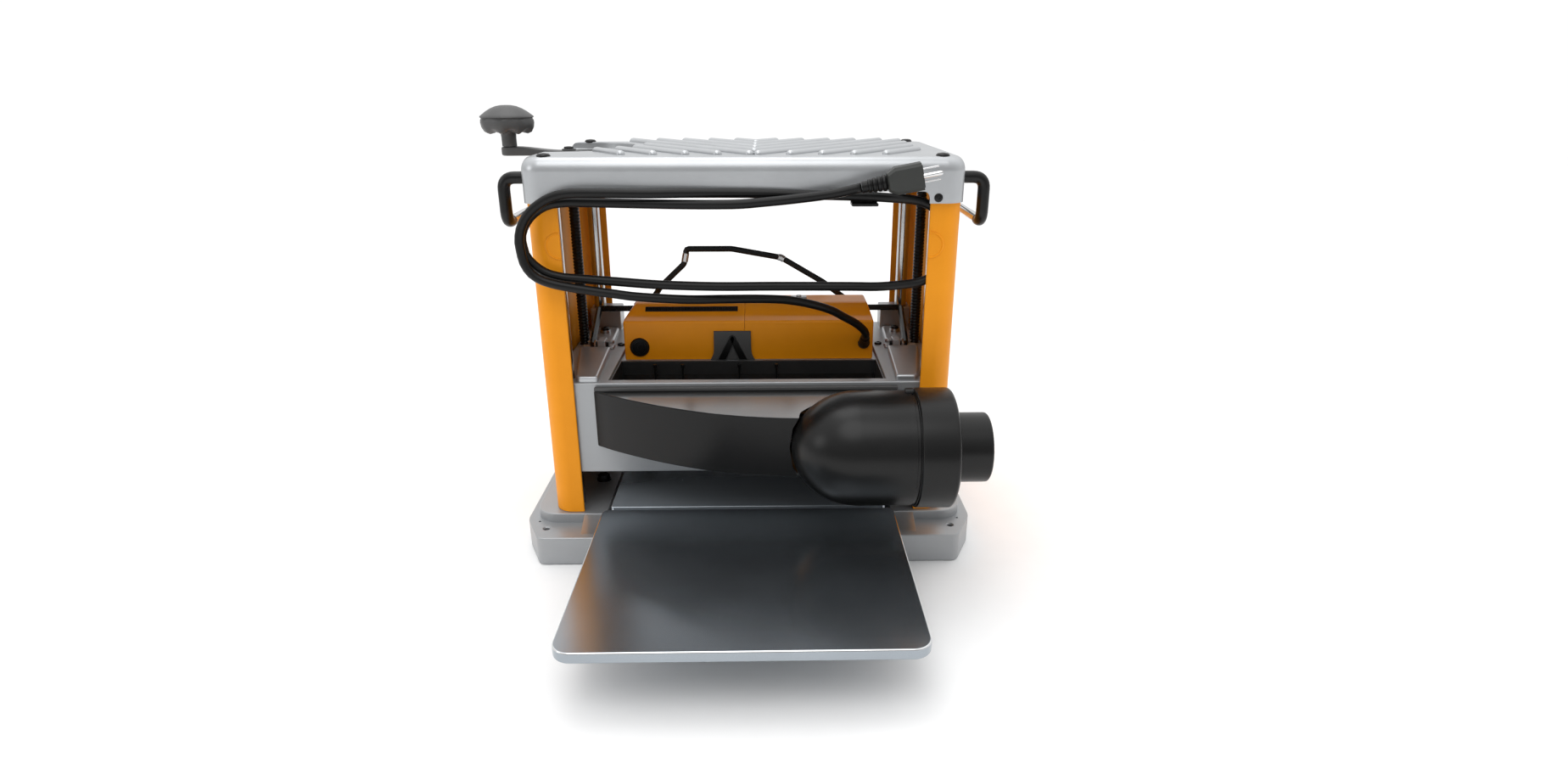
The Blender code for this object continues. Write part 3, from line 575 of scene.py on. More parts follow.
def smooth_route(knots, spacing):
    """Even points on a Catmull-Rom curve through the knots."""
    knots = [Vector(k) for k in knots]
    padded = [2 * knots[0] - knots[1]] + knots + [2 * knots[-1] - knots[-2]]
    fine = []
    for a, b, c, d in zip(padded, padded[1:], padded[2:], padded[3:]):
        for i in range(12):
            t = i / 12
            fine.append(0.5 * (2 * b + (c - a) * t + (2 * a - 5 * b + 4 * c - d) * t ** 2
                               + (3 * b - a - 3 * c + d) * t ** 3))
    fine.append(knots[-1])
    length = sum((q - p).length for p, q in zip(fine, fine[1:]))
    count = round(length / spacing)
    step = length / count
    route, travelled, target = [fine[0]], 0.0, step
    for p, q in zip(fine, fine[1:]):
        run = (q - p).length
        while travelled + run >= target and len(route) < count:
            route.append(p.lerp(q, (target - travelled) / run))
            target += step
        travelled += run
    route.append(fine[-1])
    return route


def build_plug():
    """The plug's ribbed boot, bevelled grip and three prongs, along its own axis."""
    aim = Vector(PLUG_DIRECTION).normalized()
    turn = aim.to_track_quat("X", "Z").to_matrix().to_4x4()
    turn = Matrix.Translation(Vector(PLUG_START) + aim * 0.3) @ turn
    boot = [(0, 0), (5.9, 0)]
    for k in range(4):
        x = 6 + 5 * k
        r = 5.8 + 0.5 * k
        boot += [(r, x), (r + 1.0, x + 0.7), (r + 1.2, x + 3.0), (r + 0.2, x + 3.6), (r - 0.1, x + 4.7)]
    boot += [(7.0, 26), (0, 26)]
    relief = lathe(boot, (0, 0, 0), "X", 40)
    grip = [(-9, 26.3), (-13.5, 35), (-13.5, 61.5), (13.5, 61.5), (13.5, 35), (9, 26.3)]
    rings = []
    for across, shrink in ((-12, 3.2), (-9.2, 0), (9.2, 0), (12, 3.2)):
        rings.append([(x + (shrink * 0.4 if x < 30 else 0), across, z * (1 - shrink / 14))
                      for z, x in grip])
    body = loft(rings)
    face = soft_box((61.4, -9.5, -11.0), (62.4, 9.5, 11.0), 0.4, axis="X")
    blades = [soft_box((62, -3.2, z), (79, 3.2, z + 1.6), 0.5, axis="Z") for z in (5.6, -7.2)]
    pin = lathe([(0, 62), (2.4, 62), (2.4, 79), (1.6, 81), (0, 82)], (0, -7.5, 0), "X", 24)
    looks = (("plug_boot", [relief], "rubber", ["plug_relief"]),
             ("plug_grip", [body, face], "plug", ["plug_body"]),
             ("plug_prongs", blades + [pin], "chrome",
              ["plug_blade_upper", "plug_blade_lower", "plug_ground_pin"]))
    made = []
    for name, parts, look, replaced in looks:
        for part in parts:
            part.transform(turn)
        made.append(piece(name, parts, look, "base", replaced, 30))
    return made


def build_cord():
    start, tip = Vector(GLAND_START), Vector(CORD_LEAD[0])
    reach = (tip - start).length
    profile = [(0, -3), (7.4, -3), (7.4, 0.5), (6.6, 1.0)]
    for k in range(4):
        h = 2.0 + (reach - 3) * k / 4
        r = 6.5 - 0.25 * k
        profile += [(r, h), (r, h + 1.8), (r - 0.4, h + 2.3)]
    profile += [(5.2, reach), (0, reach)]
    gland = new_object("cord_strain_relief", lathe(profile, start, tip - start, 40))
    carve(gland, [soft_box((120, -30.0, 200), (170, 0, 260), 0.5)])
    dress(gland, "rubber", "carriage", ("cord_gland",))
    route = smooth_route(CORD_LEAD + CORD_WRAP, 7.0)
    cord = new_object("mains_cord", sweep(route, CORD_R, 20))
    cord.data.materials.append(MATERIALS["rubber"])
    cord.data.shade_smooth()
    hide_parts("cord_lead", "cord_wrap")
    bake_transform(cord)
    build_plug() + [gland]


# --------------------------------------------------------------- base, tables

def pin_hole(end, reach):
    """A cutter for the hinge pin's hole at one end of the machine."""
    profile = [(0, -reach), (PIN_HOLE_R, -reach), (PIN_HOLE_R, reach), (0, reach)]
    return lathe(profile, (0, end * HINGE_Y, HINGE_Z), "X", 24)


def build_base():
    high = span("base_casting")[1]
    top = 35.0
    pad_top = 46.7
    face_x, corner_y = 244.0, 128.0
    outline = []
    for sx, sy in ((1, -1), (1, 1), (-1, 1), (-1, -1)):
        ends = [(sx * face_x, sy * high.y), (sx * high.x, sy * corner_y)]
        if sx == sy:
            ends.reverse()
        outline += ends
    base = new_object("base_body", soft_prism(round_corners(outline, 7), 0, top, 2.0))
    joins = []
    for _, s in SIDES:
        pad = arc(256 - 28, -139 + 28, 28, -90, 0, 12) + arc(256 - 28, 139 - 28, 28, 0, 90, 12)
        pad = [(s * x, y) for x, y in pad + [(170, 139), (170, -139)]]
        joins.append(soft_prism(pad, top - 4, pad_top, 1.4, ends=(False, True)))
        for end in BOTH:
            wedge = [(end * 136, pad_top - 0.3), (end * 169.2, top - 0.6), (end * 169.2, top - 6),
                     (end * 120, top - 6), (end * 120, pad_top - 0.3)]
            x = sorted((s * 171, s * 196.5))
            joins.append(soft_prism(wedge, x[0], x[1], 0.6, "X"))
    joins.append(soft_box((-155, -160, top - 5), (155, 160, 62.1), 1.5))
    for end in BOTH:
        for s in BOTH:
            ear = arc(HINGE_Y, HINGE_Z, 4.0, 0, 180, 10)
            ear += [(169, 58), (150, 58), (150, 36), (177, 36)]
            ear = [(end * y, z) for y, z in ear]
            joins.append(soft_prism(ear, s * 100 - 5, s * 100 + 5, 0.6, "X"))
    carve(base, joins, "UNION")
    cuts = [soft_box((-236, 8, -5), (236, 52, 20), 4, 8)]
    for s in BOTH:
        for near, far in ((-150, -8), (68, 150)):
            cuts.append(side_box(s, (25, 222), (near, far), (-6, 25), 4, 10))
        for end in BOTH:
            cuts.append(lathe([(0, -5), (3.5, -5), (3.5, 33.6), (5.0, 35.4), (5.0, 60), (0, 60)],
                              (s * 239, end * 153, 0), "Z", 32))
            cuts.append(lathe([(0, 30), (1.5, 30), (1.5, 60), (0, 60)],
                              (s * 251, end * 136, 0), "Z", 16))
    cuts += [pin_hole(end, 120) for end in BOTH]
    carve(base, cuts)

    # Ramp facets beside each post pad take the lighter cover paint: a painted highlight.
    def ramp_highlight_face(face):
        across, along, up = face.center / MM
        near_pad = 171 < abs(across) < 197 and 138 < abs(along) < 169 and up > top
        return near_pad and 0.3 < abs(face.normal.y) < 0.5 and face.normal.z > 0.8

    two_tone(base, "casting", "cover", ramp_highlight_face)
    dress(base, "casting", "base", ("base_casting",), 32)
    bolts = []
    for s in BOTH:
        for y in (-46, 82):
            hexagon = [(s * 190 + 7.4 * cos(radians(60 * k + 12)),
                        y + 7.4 * sin(radians(60 * k + 12))) for k in range(6)]
            bolts.append(soft_prism(hexagon, pad_top + 1.6, pad_top + 7.4, 0.7))
            bolts.append(drum((s * 190, y, 0), 9.0, pad_top - 0.5, pad_top + 1.6))
    piece("base_bolts", bolts, "oxide", "base")
    feet = []
    for sx in BOTH:
        for sy in BOTH:
            feet.append(drum((sx * 228, sy * 158, 0), 6.0, 0.05, 3.0, edge=0.8))
    piece("base_plugs", feet, "rubber", "base")


def build_tables():
    low, high = span("bed_plate")
    bed = soft_prism(round_rect(low.x, low.y, high.x, high.y, 4), low.z, high.z, 0.9)
    piece("bed_sheet", bed, "bed", "base", ("bed_plate",))
    for name, end in (("outfeed_table", -1), ("infeed_table", 1)):
        low, high = span(name)
        tip, root = (18, 10), (8, 6)
        (a, turns_a), (b, turns_b) = (root, tip) if end > 0 else (tip, root)
        outline = (arc(high.x - a, low.y + a, a, -90, 0, turns_a)
                   + arc(high.x - b, high.y - b, b, 0, 90, turns_b)
                   + arc(low.x + b, high.y - b, b, 90, 180, turns_b)
                   + arc(low.x + a, low.y + a, a, 180, 270, turns_a))
        table = new_object(f"{name}_plate", soft_prism(outline, low.z, high.z, 1.7, steps=5))
        cuts = []
        for s in BOTH:
            y = sorted((end * 160, end * 179))
            cuts.append(soft_box((s * 100 - 7, y[0], 50), (s * 100 + 7, y[1], high.z - 1.2), 0.4))
        cuts.append(pin_hole(end, 132))
        for column in range(3):
            for row in range(2):
                x = -150 + 102 * column
                y = sorted((end * (192 + 118 * row), end * (302 + 118 * row)))
                cuts.append(soft_box((x, y[0], low.z - 4), (x + 96, y[1], high.z - 4.2), 2.5, 7))
        carve(table, cuts)
        # The rounded top edge takes polished chrome: a painted highlight along the rim.
        rim_z = high.z - 1.7
        two_tone(table, "steel", "chrome",
                 lambda face: face.center.z / MM > rim_z and 0.25 < face.normal.z < 0.93)
        dress(table, "steel", name, (name,), 32)


# ----------------------------------------------------------------- posts, top

def build_posts():
    for name, s in SIDES:
        node = f"side_cover_{name}"
        low, high = span(node)
        inner, outer = sorted((abs(low.x), abs(high.x)))
        half, sheet, bend = high.y, 2.5, 22.0
        shape = arc(inner + 1, -half + 1, 1, 180, 270, 4)
        shape += arc(outer - bend, -half + bend, bend, -90, 0, 14)
        shape += arc(outer - bend, half - bend, bend, 0, 90, 14)
        shape += arc(inner + 1, half - 1, 1, 90, 180, 4)
        shape += [(inner, half - sheet)]
        shape += arc(outer - bend, half - bend, bend - sheet, 90, 0, 14)
        shape += arc(outer - bend, -half + bend, bend - sheet, 0, -90, 14)
        shape += [(inner, -half + sheet)]
        channel = soft_prism(shape, low.z, high.z, 0.5, steps=2)
        discs = []
        for end in BOTH:
            rim = [(0, -1.0), (14.6, -1.0), (14.6, 0.5), (14.0, 1.2), (13.0, 1.2), (12.5, 0.35), (0, 0.35)]
            disc = lathe(rim, (inner + 2, end * half, 365), Vector((0, end, 0)), 64)
            bmesh.ops.bisect_plane(disc, geom=disc.verts[:] + disc.edges[:] + disc.faces[:],
                                   plane_co=(inner + 0.4, 0, 0), plane_no=(-1, 0, 0), clear_outer=True)
            bmesh.ops.holes_fill(disc, edges=[e for e in disc.edges if e.is_boundary])
            discs.append(disc)
        parts = [channel] + discs
        if s < 0:
            for part in parts:
                part.transform(Matrix.Scale(-1, 4, Vector((1, 0, 0))))
        piece(f"post_shell_{name}", parts, "orange", "base", (node,), 32)
        for row in ("rear", "front"):
            node = f"guide_column_{row}_{name}"
            low, high = span(node)
            centre = (low + high) / 2
            column = drum((centre.x, centre.y, 0), (high.x - low.x) / 2, low.z, high.z, edge=1.2)
            piece(f"{node}_bar", column, "ground", "base", (node,))
        screws = []
        head = [(0, 0.6), (1.8, 0.6), (2.0, 2.4), (4.6, 1.9), (5.2, 0.8), (5.2, -0.5), (0, -0.5)]
        for z in (64, 396):
            screws.append(lathe(head, (s * 215, half, z), Vector((0, 1, 0)), 28))
        piece(f"post_screws_{name}", screws, "oxide", "base")


def dome_rows(low, high, wall, base):
    """Rings of the cover's outer shape, or of the same shape one wall smaller."""
    rows = [(0.0, base)]
    for k in range(10):
        a = radians(90 * k / 9)
        rows.append((11 * (1 - cos(a)), high.z - 15 * (1 - sin(a))))
    rings = []
    for shrink, z in rows:
        x, y = high.x - shrink - wall, high.y - shrink - wall
        outline = round_rect(-x, -y, x, y, 22 - 0.6 * shrink - wall, 10)
        rings.append([(u, v, z - wall if z > base else z) for u, v in outline])
    return rings


def rib_lines(top, hub, clear):
    """Starts and ends of the chevron ribs, leaving the crank's recess clear."""
    slope, pitch, near, far, vertex = 1.44, 34.5, -101.0, 127.0, 10.0
    limits = {-1: -186.0, 1: 196.0}
    lines = []
    for s in BOTH:
        for k in range(-4, 5):
            x0 = vertex - s * pitch * k + s * 5
            if (x0 - vertex) * s >= 0:
                start = Vector((x0, near))
            else:
                start = Vector((vertex, near + (vertex - x0) * s * slope))
            heading = Vector((s * 1.0, slope)).normalized()
            run = 0.0
            while True:
                tip = start + heading * (run + 2)
                if tip.y > far or tip.x * s > limits[s] * s or (tip - hub).length < clear:
                    break
                run += 2
            if run > 10 and start.y < far - 12 and abs(start.x) < 190:
                lines.append((start, start + heading * run))
    return lines


def build_cover():
    low, high = span("top_cover")
    hub = middle("lead_screw_left").xy
    floor_z, radius, wall, skirt = 447.0, 88.0, 3.0, 422.0
    cover = new_object("cover_shell", loft(dome_rows(low, high, 0, low.z)))
    hollow = new_object("hollow", loft(dome_rows(low, high, wall, low.z - 30)))
    centre = (hub.x, hub.y, 0)
    roof = lathe([(0, floor_z - wall), (radius + wall, floor_z - wall), (radius + wall, 480), (0, 480)],
                 centre, "Z", 96)
    carve(hollow, [roof])
    cutter = bmesh.new()
    cutter.from_mesh(hollow.data)
    cutter.transform(Matrix.Scale(1 / MM, 4))
    bpy.data.objects.remove(hollow)
    arch = round_rect(-195, 380, 195, skirt, 7)
    bowl = [(0, floor_z), (radius - 3, floor_z), (radius - 0.9, floor_z + 0.9), (radius, floor_z + 3),
            (radius, high.z - 1.5), (radius + 0.5, high.z - 0.4), (radius + 1.8, high.z + 0.2),
            (radius + 1.8, 480), (0, 480)]
    carve(cover, [cutter, soft_prism(arch, -160, 160, 0.5, "Y"), lathe(bowl, centre, "Z", 96)])
    carve(cover, [drum(centre, 7.2, 430, 460)])

    def on_recess_floor(face):
        spot = face.center / MM
        return (spot.xy - hub).length < radius - 1 and abs(spot.z - floor_z) < 0.5

    two_tone(cover, "cover", "grey", on_recess_floor)
    dress(cover, "cover", "base", ("top_cover",), 32)
    ribs = []
    for start, stop in rib_lines(high.z, hub, radius + 7):
        rib = capsule((*start, 0), (*stop, 0), 5.2)
        rib.transform(Matrix.Translation((0, 0, high.z)) @ Matrix.Scale(0.92, 4, Vector((0, 0, 1))))
        ribs.append(rib)
    piece("cover_ribs", ribs, "cover", "base")
    head = [(0, 1.0), (2.6, 1.0), (2.8, 3.0), (5.6, 2.6), (7.0, 1.4), (7.4, 0.2), (7.4, -0.8), (0, -0.8)]
    screws = [lathe(head, (sx * 209, sy * 124, high.z), "Z", 32) for sx in BOTH for sy in BOTH]
    small = [(0, 0.6), (1.6, 0.6), (1.8, 2.0), (4.0, 1.5), (4.6, 0.5), (4.6, -0.5), (0, -0.5)]
    for s in BOTH:
        for end in BOTH:
            screws.append(lathe(small, (s * 204, end * high.y, 415.5), Vector((0, end, 0)), 28))
    piece("cover_screws", screws, "oxide", "base")


def threaded(node, body):
    """A lead screw with a real helical thread between plain ends."""
    low, high = span(node)
    centre = (low + high) / 2
    radius, pitch, depth, sides = (high.x - low.x) / 2, 4.0, 0.9, 20
    bottom, top = low.z + 4, high.z - 8
    count = int((top - bottom - pitch) / pitch * sides)
    bm = bmesh.new()
    rows = []
    for i in range(count + sides + 1):
        a = tau * i / sides
        z = bottom + pitch * i / sides
        pair = []
        for r, rise in ((radius - depth, 0.0), (radius, 0.38), (radius, 0.62)):
            pair.append(bm.verts.new((centre.x + r * cos(a), centre.y + r * sin(a),
                                      z + rise * pitch)))
        rows.append(pair)
    for i in range(count + sides):
        a, b = rows[i], rows[i + 1]
        bm.faces.new((a[0], b[0], b[1], a[1]))
        bm.faces.new((a[1], b[1], b[2], a[2]))
        if i < count:
            c, d = rows[i + sides], rows[i + sides + 1]
            bm.faces.new((a[2], b[2], d[0], c[0]))
    plain = [drum((centre.x, centre.y, 0), radius - 0.3, low.z, bottom + pitch + 1, steps=32),
             drum((centre.x, centre.y, 0), radius - 0.3, top - pitch - 1, high.z, steps=32),
             drum((centre.x, centre.y, 0), radius - depth - 0.1, bottom, top, steps=32)]
    piece(f"{node}_thread", [bm] + plain, "oxide", body, (node,), 50)


def build_crank():
    hub = middle("lead_screw_left")
    knob = middle("crank_knob")
    low, high = span("crank_arm")
    outline = arc(hub.x, hub.y, 13, -80, 100, 16) + arc(knob.x, knob.y, 10, 100, 280, 14)
    bar = soft_prism(outline, low.z, high.z, 2.0)
    bmesh.ops.subdivide_edges(bar, edges=[e for e in bar.edges if e.calc_length() > 30], cuts=8)
    reach = (knob - hub).xy.length
    for v in bar.verts:
        near = max(0.0, min(1.0, 1.15 - (v.co.xy - hub.xy).length / reach * 1.25))
        v.co.z = low.z + (v.co.z - low.z) * (1 - 0.5 * near * near * (3 - 2 * near))
    arm = [bar, drum((hub.x, hub.y, 0), 8.5, low.z + 3, low.z + 7.2, edge=1.2)]
    piece("crank_lever", arm, "grey", "crank", ("crank_arm",))
    bolt = [lathe([(0, 0.4), (2.6, 0.4), (2.9, 2.6), (5.2, 2.2), (5.8, 1.4), (5.8, -1), (0, -1)],
                  (hub.x, hub.y, low.z + 7.2), "Z", 32)]
    along = (knob - hub).normalized()
    spot = knob - along * 17
    bolt.append(lathe([(0, 0.2), (1.6, 0.2), (1.8, 1.4), (3.4, 1.1), (3.8, 0.4), (3.8, -0.6), (0, -0.6)],
                      (spot.x, spot.y, high.z), "Z", 24))
    piece("crank_bolts", bolt, "oxide", "crank")
    low, high = span("crank_knob")

    def lobe(angle, radius, height):
        wave = cos(8 * angle)
        part = max(0.0, min(1.0, (radius - 12) / 10))
        if height > low.z + 31:
            return radius, height
        return radius + 0.5 * part * wave, height - 1.7 * part * wave * (height < low.z + 20)

    z = low.z
    profile = [(4.3, z), (8.6, z), (8.6, z + 10), (9.0, z + 14.5), (10.6, z + 17.2), (13.5, z + 17.6),
               (18, z + 16.6), (23, z + 16.2), (27.5, z + 18.2), (30.2, z + 22), (31, z + 27),
               (30.6, z + 30.4), (29.6, z + 31.4), (29.6, z + 32.4), (31, z + 33.2), (30.6, z + 34.6),
               (28, z + 36.6),
               (23.5, z + 40), (18, z + 43.2), (12, z + 45.6), (6, z + 46.7), (0, high.z),
               (0, z + 36), (4.3, z + 36)]
    piece("knob_cap", lathe(profile, (knob.x, knob.y, 0), "Z", 96, closed=True, lobes=lobe),
          "grey", "crank_knob", ("crank_knob",), 42)
    threaded("lead_screw_left", "crank")
    threaded("lead_screw_right", "right_screw")


def build_handles():
    cover = span("top_cover")[1]
    for name, s in SIDES:
        low, high = span(f"handle_{name}")
        x = s * (max(abs(low.x), abs(high.x)) - 5.8)
        start = s * (cover.x - 1)
        top, bottom, reach = high.z - 5.8, low.z + 5.8, high.y - 5.8
        sleeves = []
        for end in BOTH:
            bends = [(start, end * reach, top), (x, end * reach, top), (x, end * reach, bottom),
                     (x, end * (reach - 16), bottom)]
            sleeves.append(sweep(fillet(bends, 13, 8), 6.6, 24, end=1.0))
            sleeves.append(tube((start, end * reach, top), 5.0, 9.0, -1.0, 3.2, Vector((s, 0, 0)), 1.0, 40))
        piece(f"handle_sleeves_{name}", sleeves, "black", "base", (f"handle_{name}",))
        bar = sweep([(x, y, bottom) for y in (-reach + 10, 0, reach - 10)], 5.6, 28)
        piece(f"handle_bar_{name}", bar, "chrome", "base")


# ------------------------------------------------------------------- carriage

def build_carriage():
    refine("carriage_casting", 1.2, "casting", "carriage")
    top = 208.0
    ledges, screws, caps = [], [], []
    for _, s in SIDES:
        panel = [(170, -127), (195, -127), (216, -8), (176, -8)]
        rear = [(178, 26), (222, 26), (216, 92), (182, 92)]
        for corners, peak in ((panel, 7.0), (rear, 5.0)):
            shape = [(s * x, y) for x, y in round_corners(corners, 5)]
            ledges.append(soft_prism(shape, top - 1, top + peak, 3.0, steps=5, ends=(False, True)))
        for y in (3, 12):
            ledges.append(capsule((s * 177, y, top + 0.6), (s * 214, y, top + 0.6), 3.0, 16, 4))
        caps.append(drum((s * 196, 64, 0), 7.0, top + 2, top + 9.0, edge=1.0))
        screws.append(lathe([(0, 1.5), (2.2, 1.5), (2.4, 4), (5.2, 3.4), (5.8, 2), (5.8, 0), (0, 0)],
                            (s * 196, 64, top + 8.4), "Z", 28))
        screws.append(lathe([(0, 1.5), (1.8, 1.5), (2.0, 3), (4.2, 2.6), (4.8, 1.2), (4.8, 0), (0, 0)],
                            (s * 168, 20, top - 0.3), "Z", 28))
    # The ledges take the lighter cover paint instead of the casting's: painted light on their tops.
    piece("carriage_ledges", ledges, "cover", "carriage")
    piece("carriage_bushes", caps, "machined", "carriage")
    piece("carriage_screws", screws, "oxide", "carriage")
    # Thin near-black sheets over the deck's front and side faces behind the flange: painted shade.
    painted_shade = [soft_box((-159.4, -39.0, 168), (159.4, -36.3, 204.5), 0.6),
              soft_box((-159.6, -116, 168), (-157.4, -40, 206), 0.6, axis="X"),
              soft_box((157.4, -116, 168), (159.6, -40, 206), 0.6, axis="X")]
    piece("tray_painted_shade", painted_shade, "painted_shade", "carriage")
    pins = []
    for x in (-116, -82, -12, 34):
        pins.append(drum((x, -47, 0), 1.3, 172, 201, steps=20))
        pins.append(drum((x, -47, 0), 2.4, 199, 203, steps=20))
    pins.append(capsule((-82, -60, 184), (26, -60, 184), 1.4, 12, 3))
    piece("tray_pins", pins, "oxide", "carriage")
    refine("chip_deflector", 0.8, "black", "carriage")


def motor_profile():
    """Side view of the motor housing: a flat face, a narrow ledge and a rounded drum behind it."""
    low, high = span("motor_housing_left")
    near, far, bottom, top = low.y, high.y, low.z, high.z
    profile = [(near, bottom)]
    profile += arc(near + 3, 250.4, 3, 180, 98, 5)
    profile += [(-17, 255.0), (-13, 256.2), (-9.5, 258.6), (-5, 262.4)]
    profile += arc(10, top - 17, 17, 128, 90, 5)
    profile += arc(far - 20, top - 20, 20, 90, 0, 9)
    profile.append((far, bottom))
    return profile


def build_motor():
    for (name, s), cant in zip(SIDES, (0.8, 0.35)):
        low, high = span(f"motor_housing_{name}")
        half = soft_prism(motor_profile(), low.x, high.x, 2.2, "X", 5, ends=(s < 0, s > 0))
        for v in half.verts:
            outer = abs(v.co.x) > 140 and v.co.x * s > 0
            if outer and v.co.z > 253:
                v.co.x -= s * (v.co.z - 253) * cant
        piece(f"motor_shell_{name}", half, "motor", "carriage", (f"motor_housing_{name}",), 34)
    # A black strip with ribs along the motor's sloped top: painted shade of the slot there.
    slope = Matrix.Translation((-70, -5.6, 262.6)) @ Matrix.Rotation(radians(40), 4, "X")
    slot = [soft_box((-60, -3.6, -1.2), (56, 3.6, 0.5), 0.4)]
    for k in range(14):
        slot.append(soft_box((-56 + 8 * k, -2.8, 0.0), (-51 + 8 * k, 2.8, 0.9), 0.3))
    for part in slot:
        part.transform(slope)
    piece("motor_slope_shade", slot, "black", "carriage")
    rear = []
    for s in BOTH:
        for k in range(9):
            x = s * 62 + (k - 4) * 9
            rear.append(soft_box((x - 2.5, 61.4, 214), (x + 2.5, 62.6, 240), 0.5, 1.4, "Y"))
    piece("motor_rear_vents", rear, "black", "carriage")
    near = span("motor_housing_left")[0].y
    cap = [(0, 1.8), (2.5, 1.8), (2.7, 1.2), (7.4, 1.2), (7.8, 2.4), (10.8, 2.4), (11.8, 1.4),
           (12.2, 0.2), (12.2, -2), (0, -2)]
    piece("brush_cap", lathe(cap, (-136, near, 220), Vector((0, -1, 0)), 56), "black", "carriage")
    latch = [soft_box((54, 24, 266), (74, 36, 270), 1.2), drum((64, 30, 0), 3.5, 269.5, 271.5)]
    piece("motor_top_tab", latch, "machined", "carriage")
    low, high = span("vent_plate")
    sides = []
    for k in range(8):
        t = k / 7
        sides.append((4.6 * (1 - (1 - t) ** 2.4) - 2.4, low.z + 15.0 * t))
    outline = [(low.x + d, z) for d, z in sides] + [(low.x + 2.6, high.z), (high.x - 2.6, high.z)]
    outline += [(high.x - d, z) for d, z in sides[::-1]]
    plate = [soft_prism(outline, low.y, high.y, 0.8, "Y", 2)]
    centre = (low.x + high.x) / 2
    for s in BOTH:
        leg = [(centre + s * 18.0, low.z + 1.0), (centre + s * 8.5, low.z + 1.0),
               (centre - s * 3.4, high.z - 9.5), (centre - s * 0.2, high.z - 4.5),
               (centre + s * 3.0, high.z - 6.5)]
        plate.append(soft_prism(leg, low.y - 2.0, low.y + 0.8, 0.6, "Y", 2))
    piece("vent_shield", plate[0], "grey", "carriage", ("vent_plate",))
    piece("vent_chevron", plate[1:], "black", "carriage")


def build_lever():
    y = span("lock_lever")[1].y - 3.8
    pivot, foot = 214.0, 241.0
    half = [(180, 0, pivot), (201, 0, pivot), (206, y, foot)]
    left = [(-a, b, c) for a, b, c in half]
    hump = [(-141, y, foot), (-121, y, 271), (-88, y, 302), (-84, y, 322), (-24, y, 322), (42, y, 310),
            (98, y, 277), (146, y, foot)]
    path = fillet(left + hump + half[::-1], 3.0, 2)
    piece("lever_bar", sweep(path, 4.15, 8, end=0.8, roll=pi / 8), "oxide", "lock_lever",
          ("lock_lever",), 25)
    collars = [sweep([(-87.2, y, 305), (-86, y, 311), (-84.8, y, 317)], 4.7, 8, end=0.6, roll=pi / 8),
               sweep([(38, y, 310.8), (42, y, 310), (46, y, 307.6)], 4.7, 8, end=0.6, roll=pi / 8)]
    for s in BOTH:
        collars.append(tube((s * 196.5, 0, pivot), 4.3, 7.0, -1.5, 1.5, "X", 0.5, 32))
    piece("lever_collars", collars, "machined", "lock_lever")


# ----------------------------------------------------------------- dust hood

def curve_2d(points, steps=6):
    """A smooth curve through 2-D points."""
    padded = [(2 * points[0][0] - points[1][0], 2 * points[0][1] - points[1][1])] + points
    padded.append((2 * points[-1][0] - points[-2][0], 2 * points[-1][1] - points[-2][1]))
    smooth = []
    for a, b, c, d in zip(padded, padded[1:], padded[2:], padded[3:]):
        for i in range(steps):
            t = i / steps
            smooth.append(tuple(0.5 * (2 * q + (r - p) * t + (2 * p - 5 * q + 4 * r - w) * t * t
                                       + (3 * q - p - 3 * r + w) * t ** 3)
                                for p, q, r, w in zip(a, b, c, d)))
    return smooth + [points[-1]]


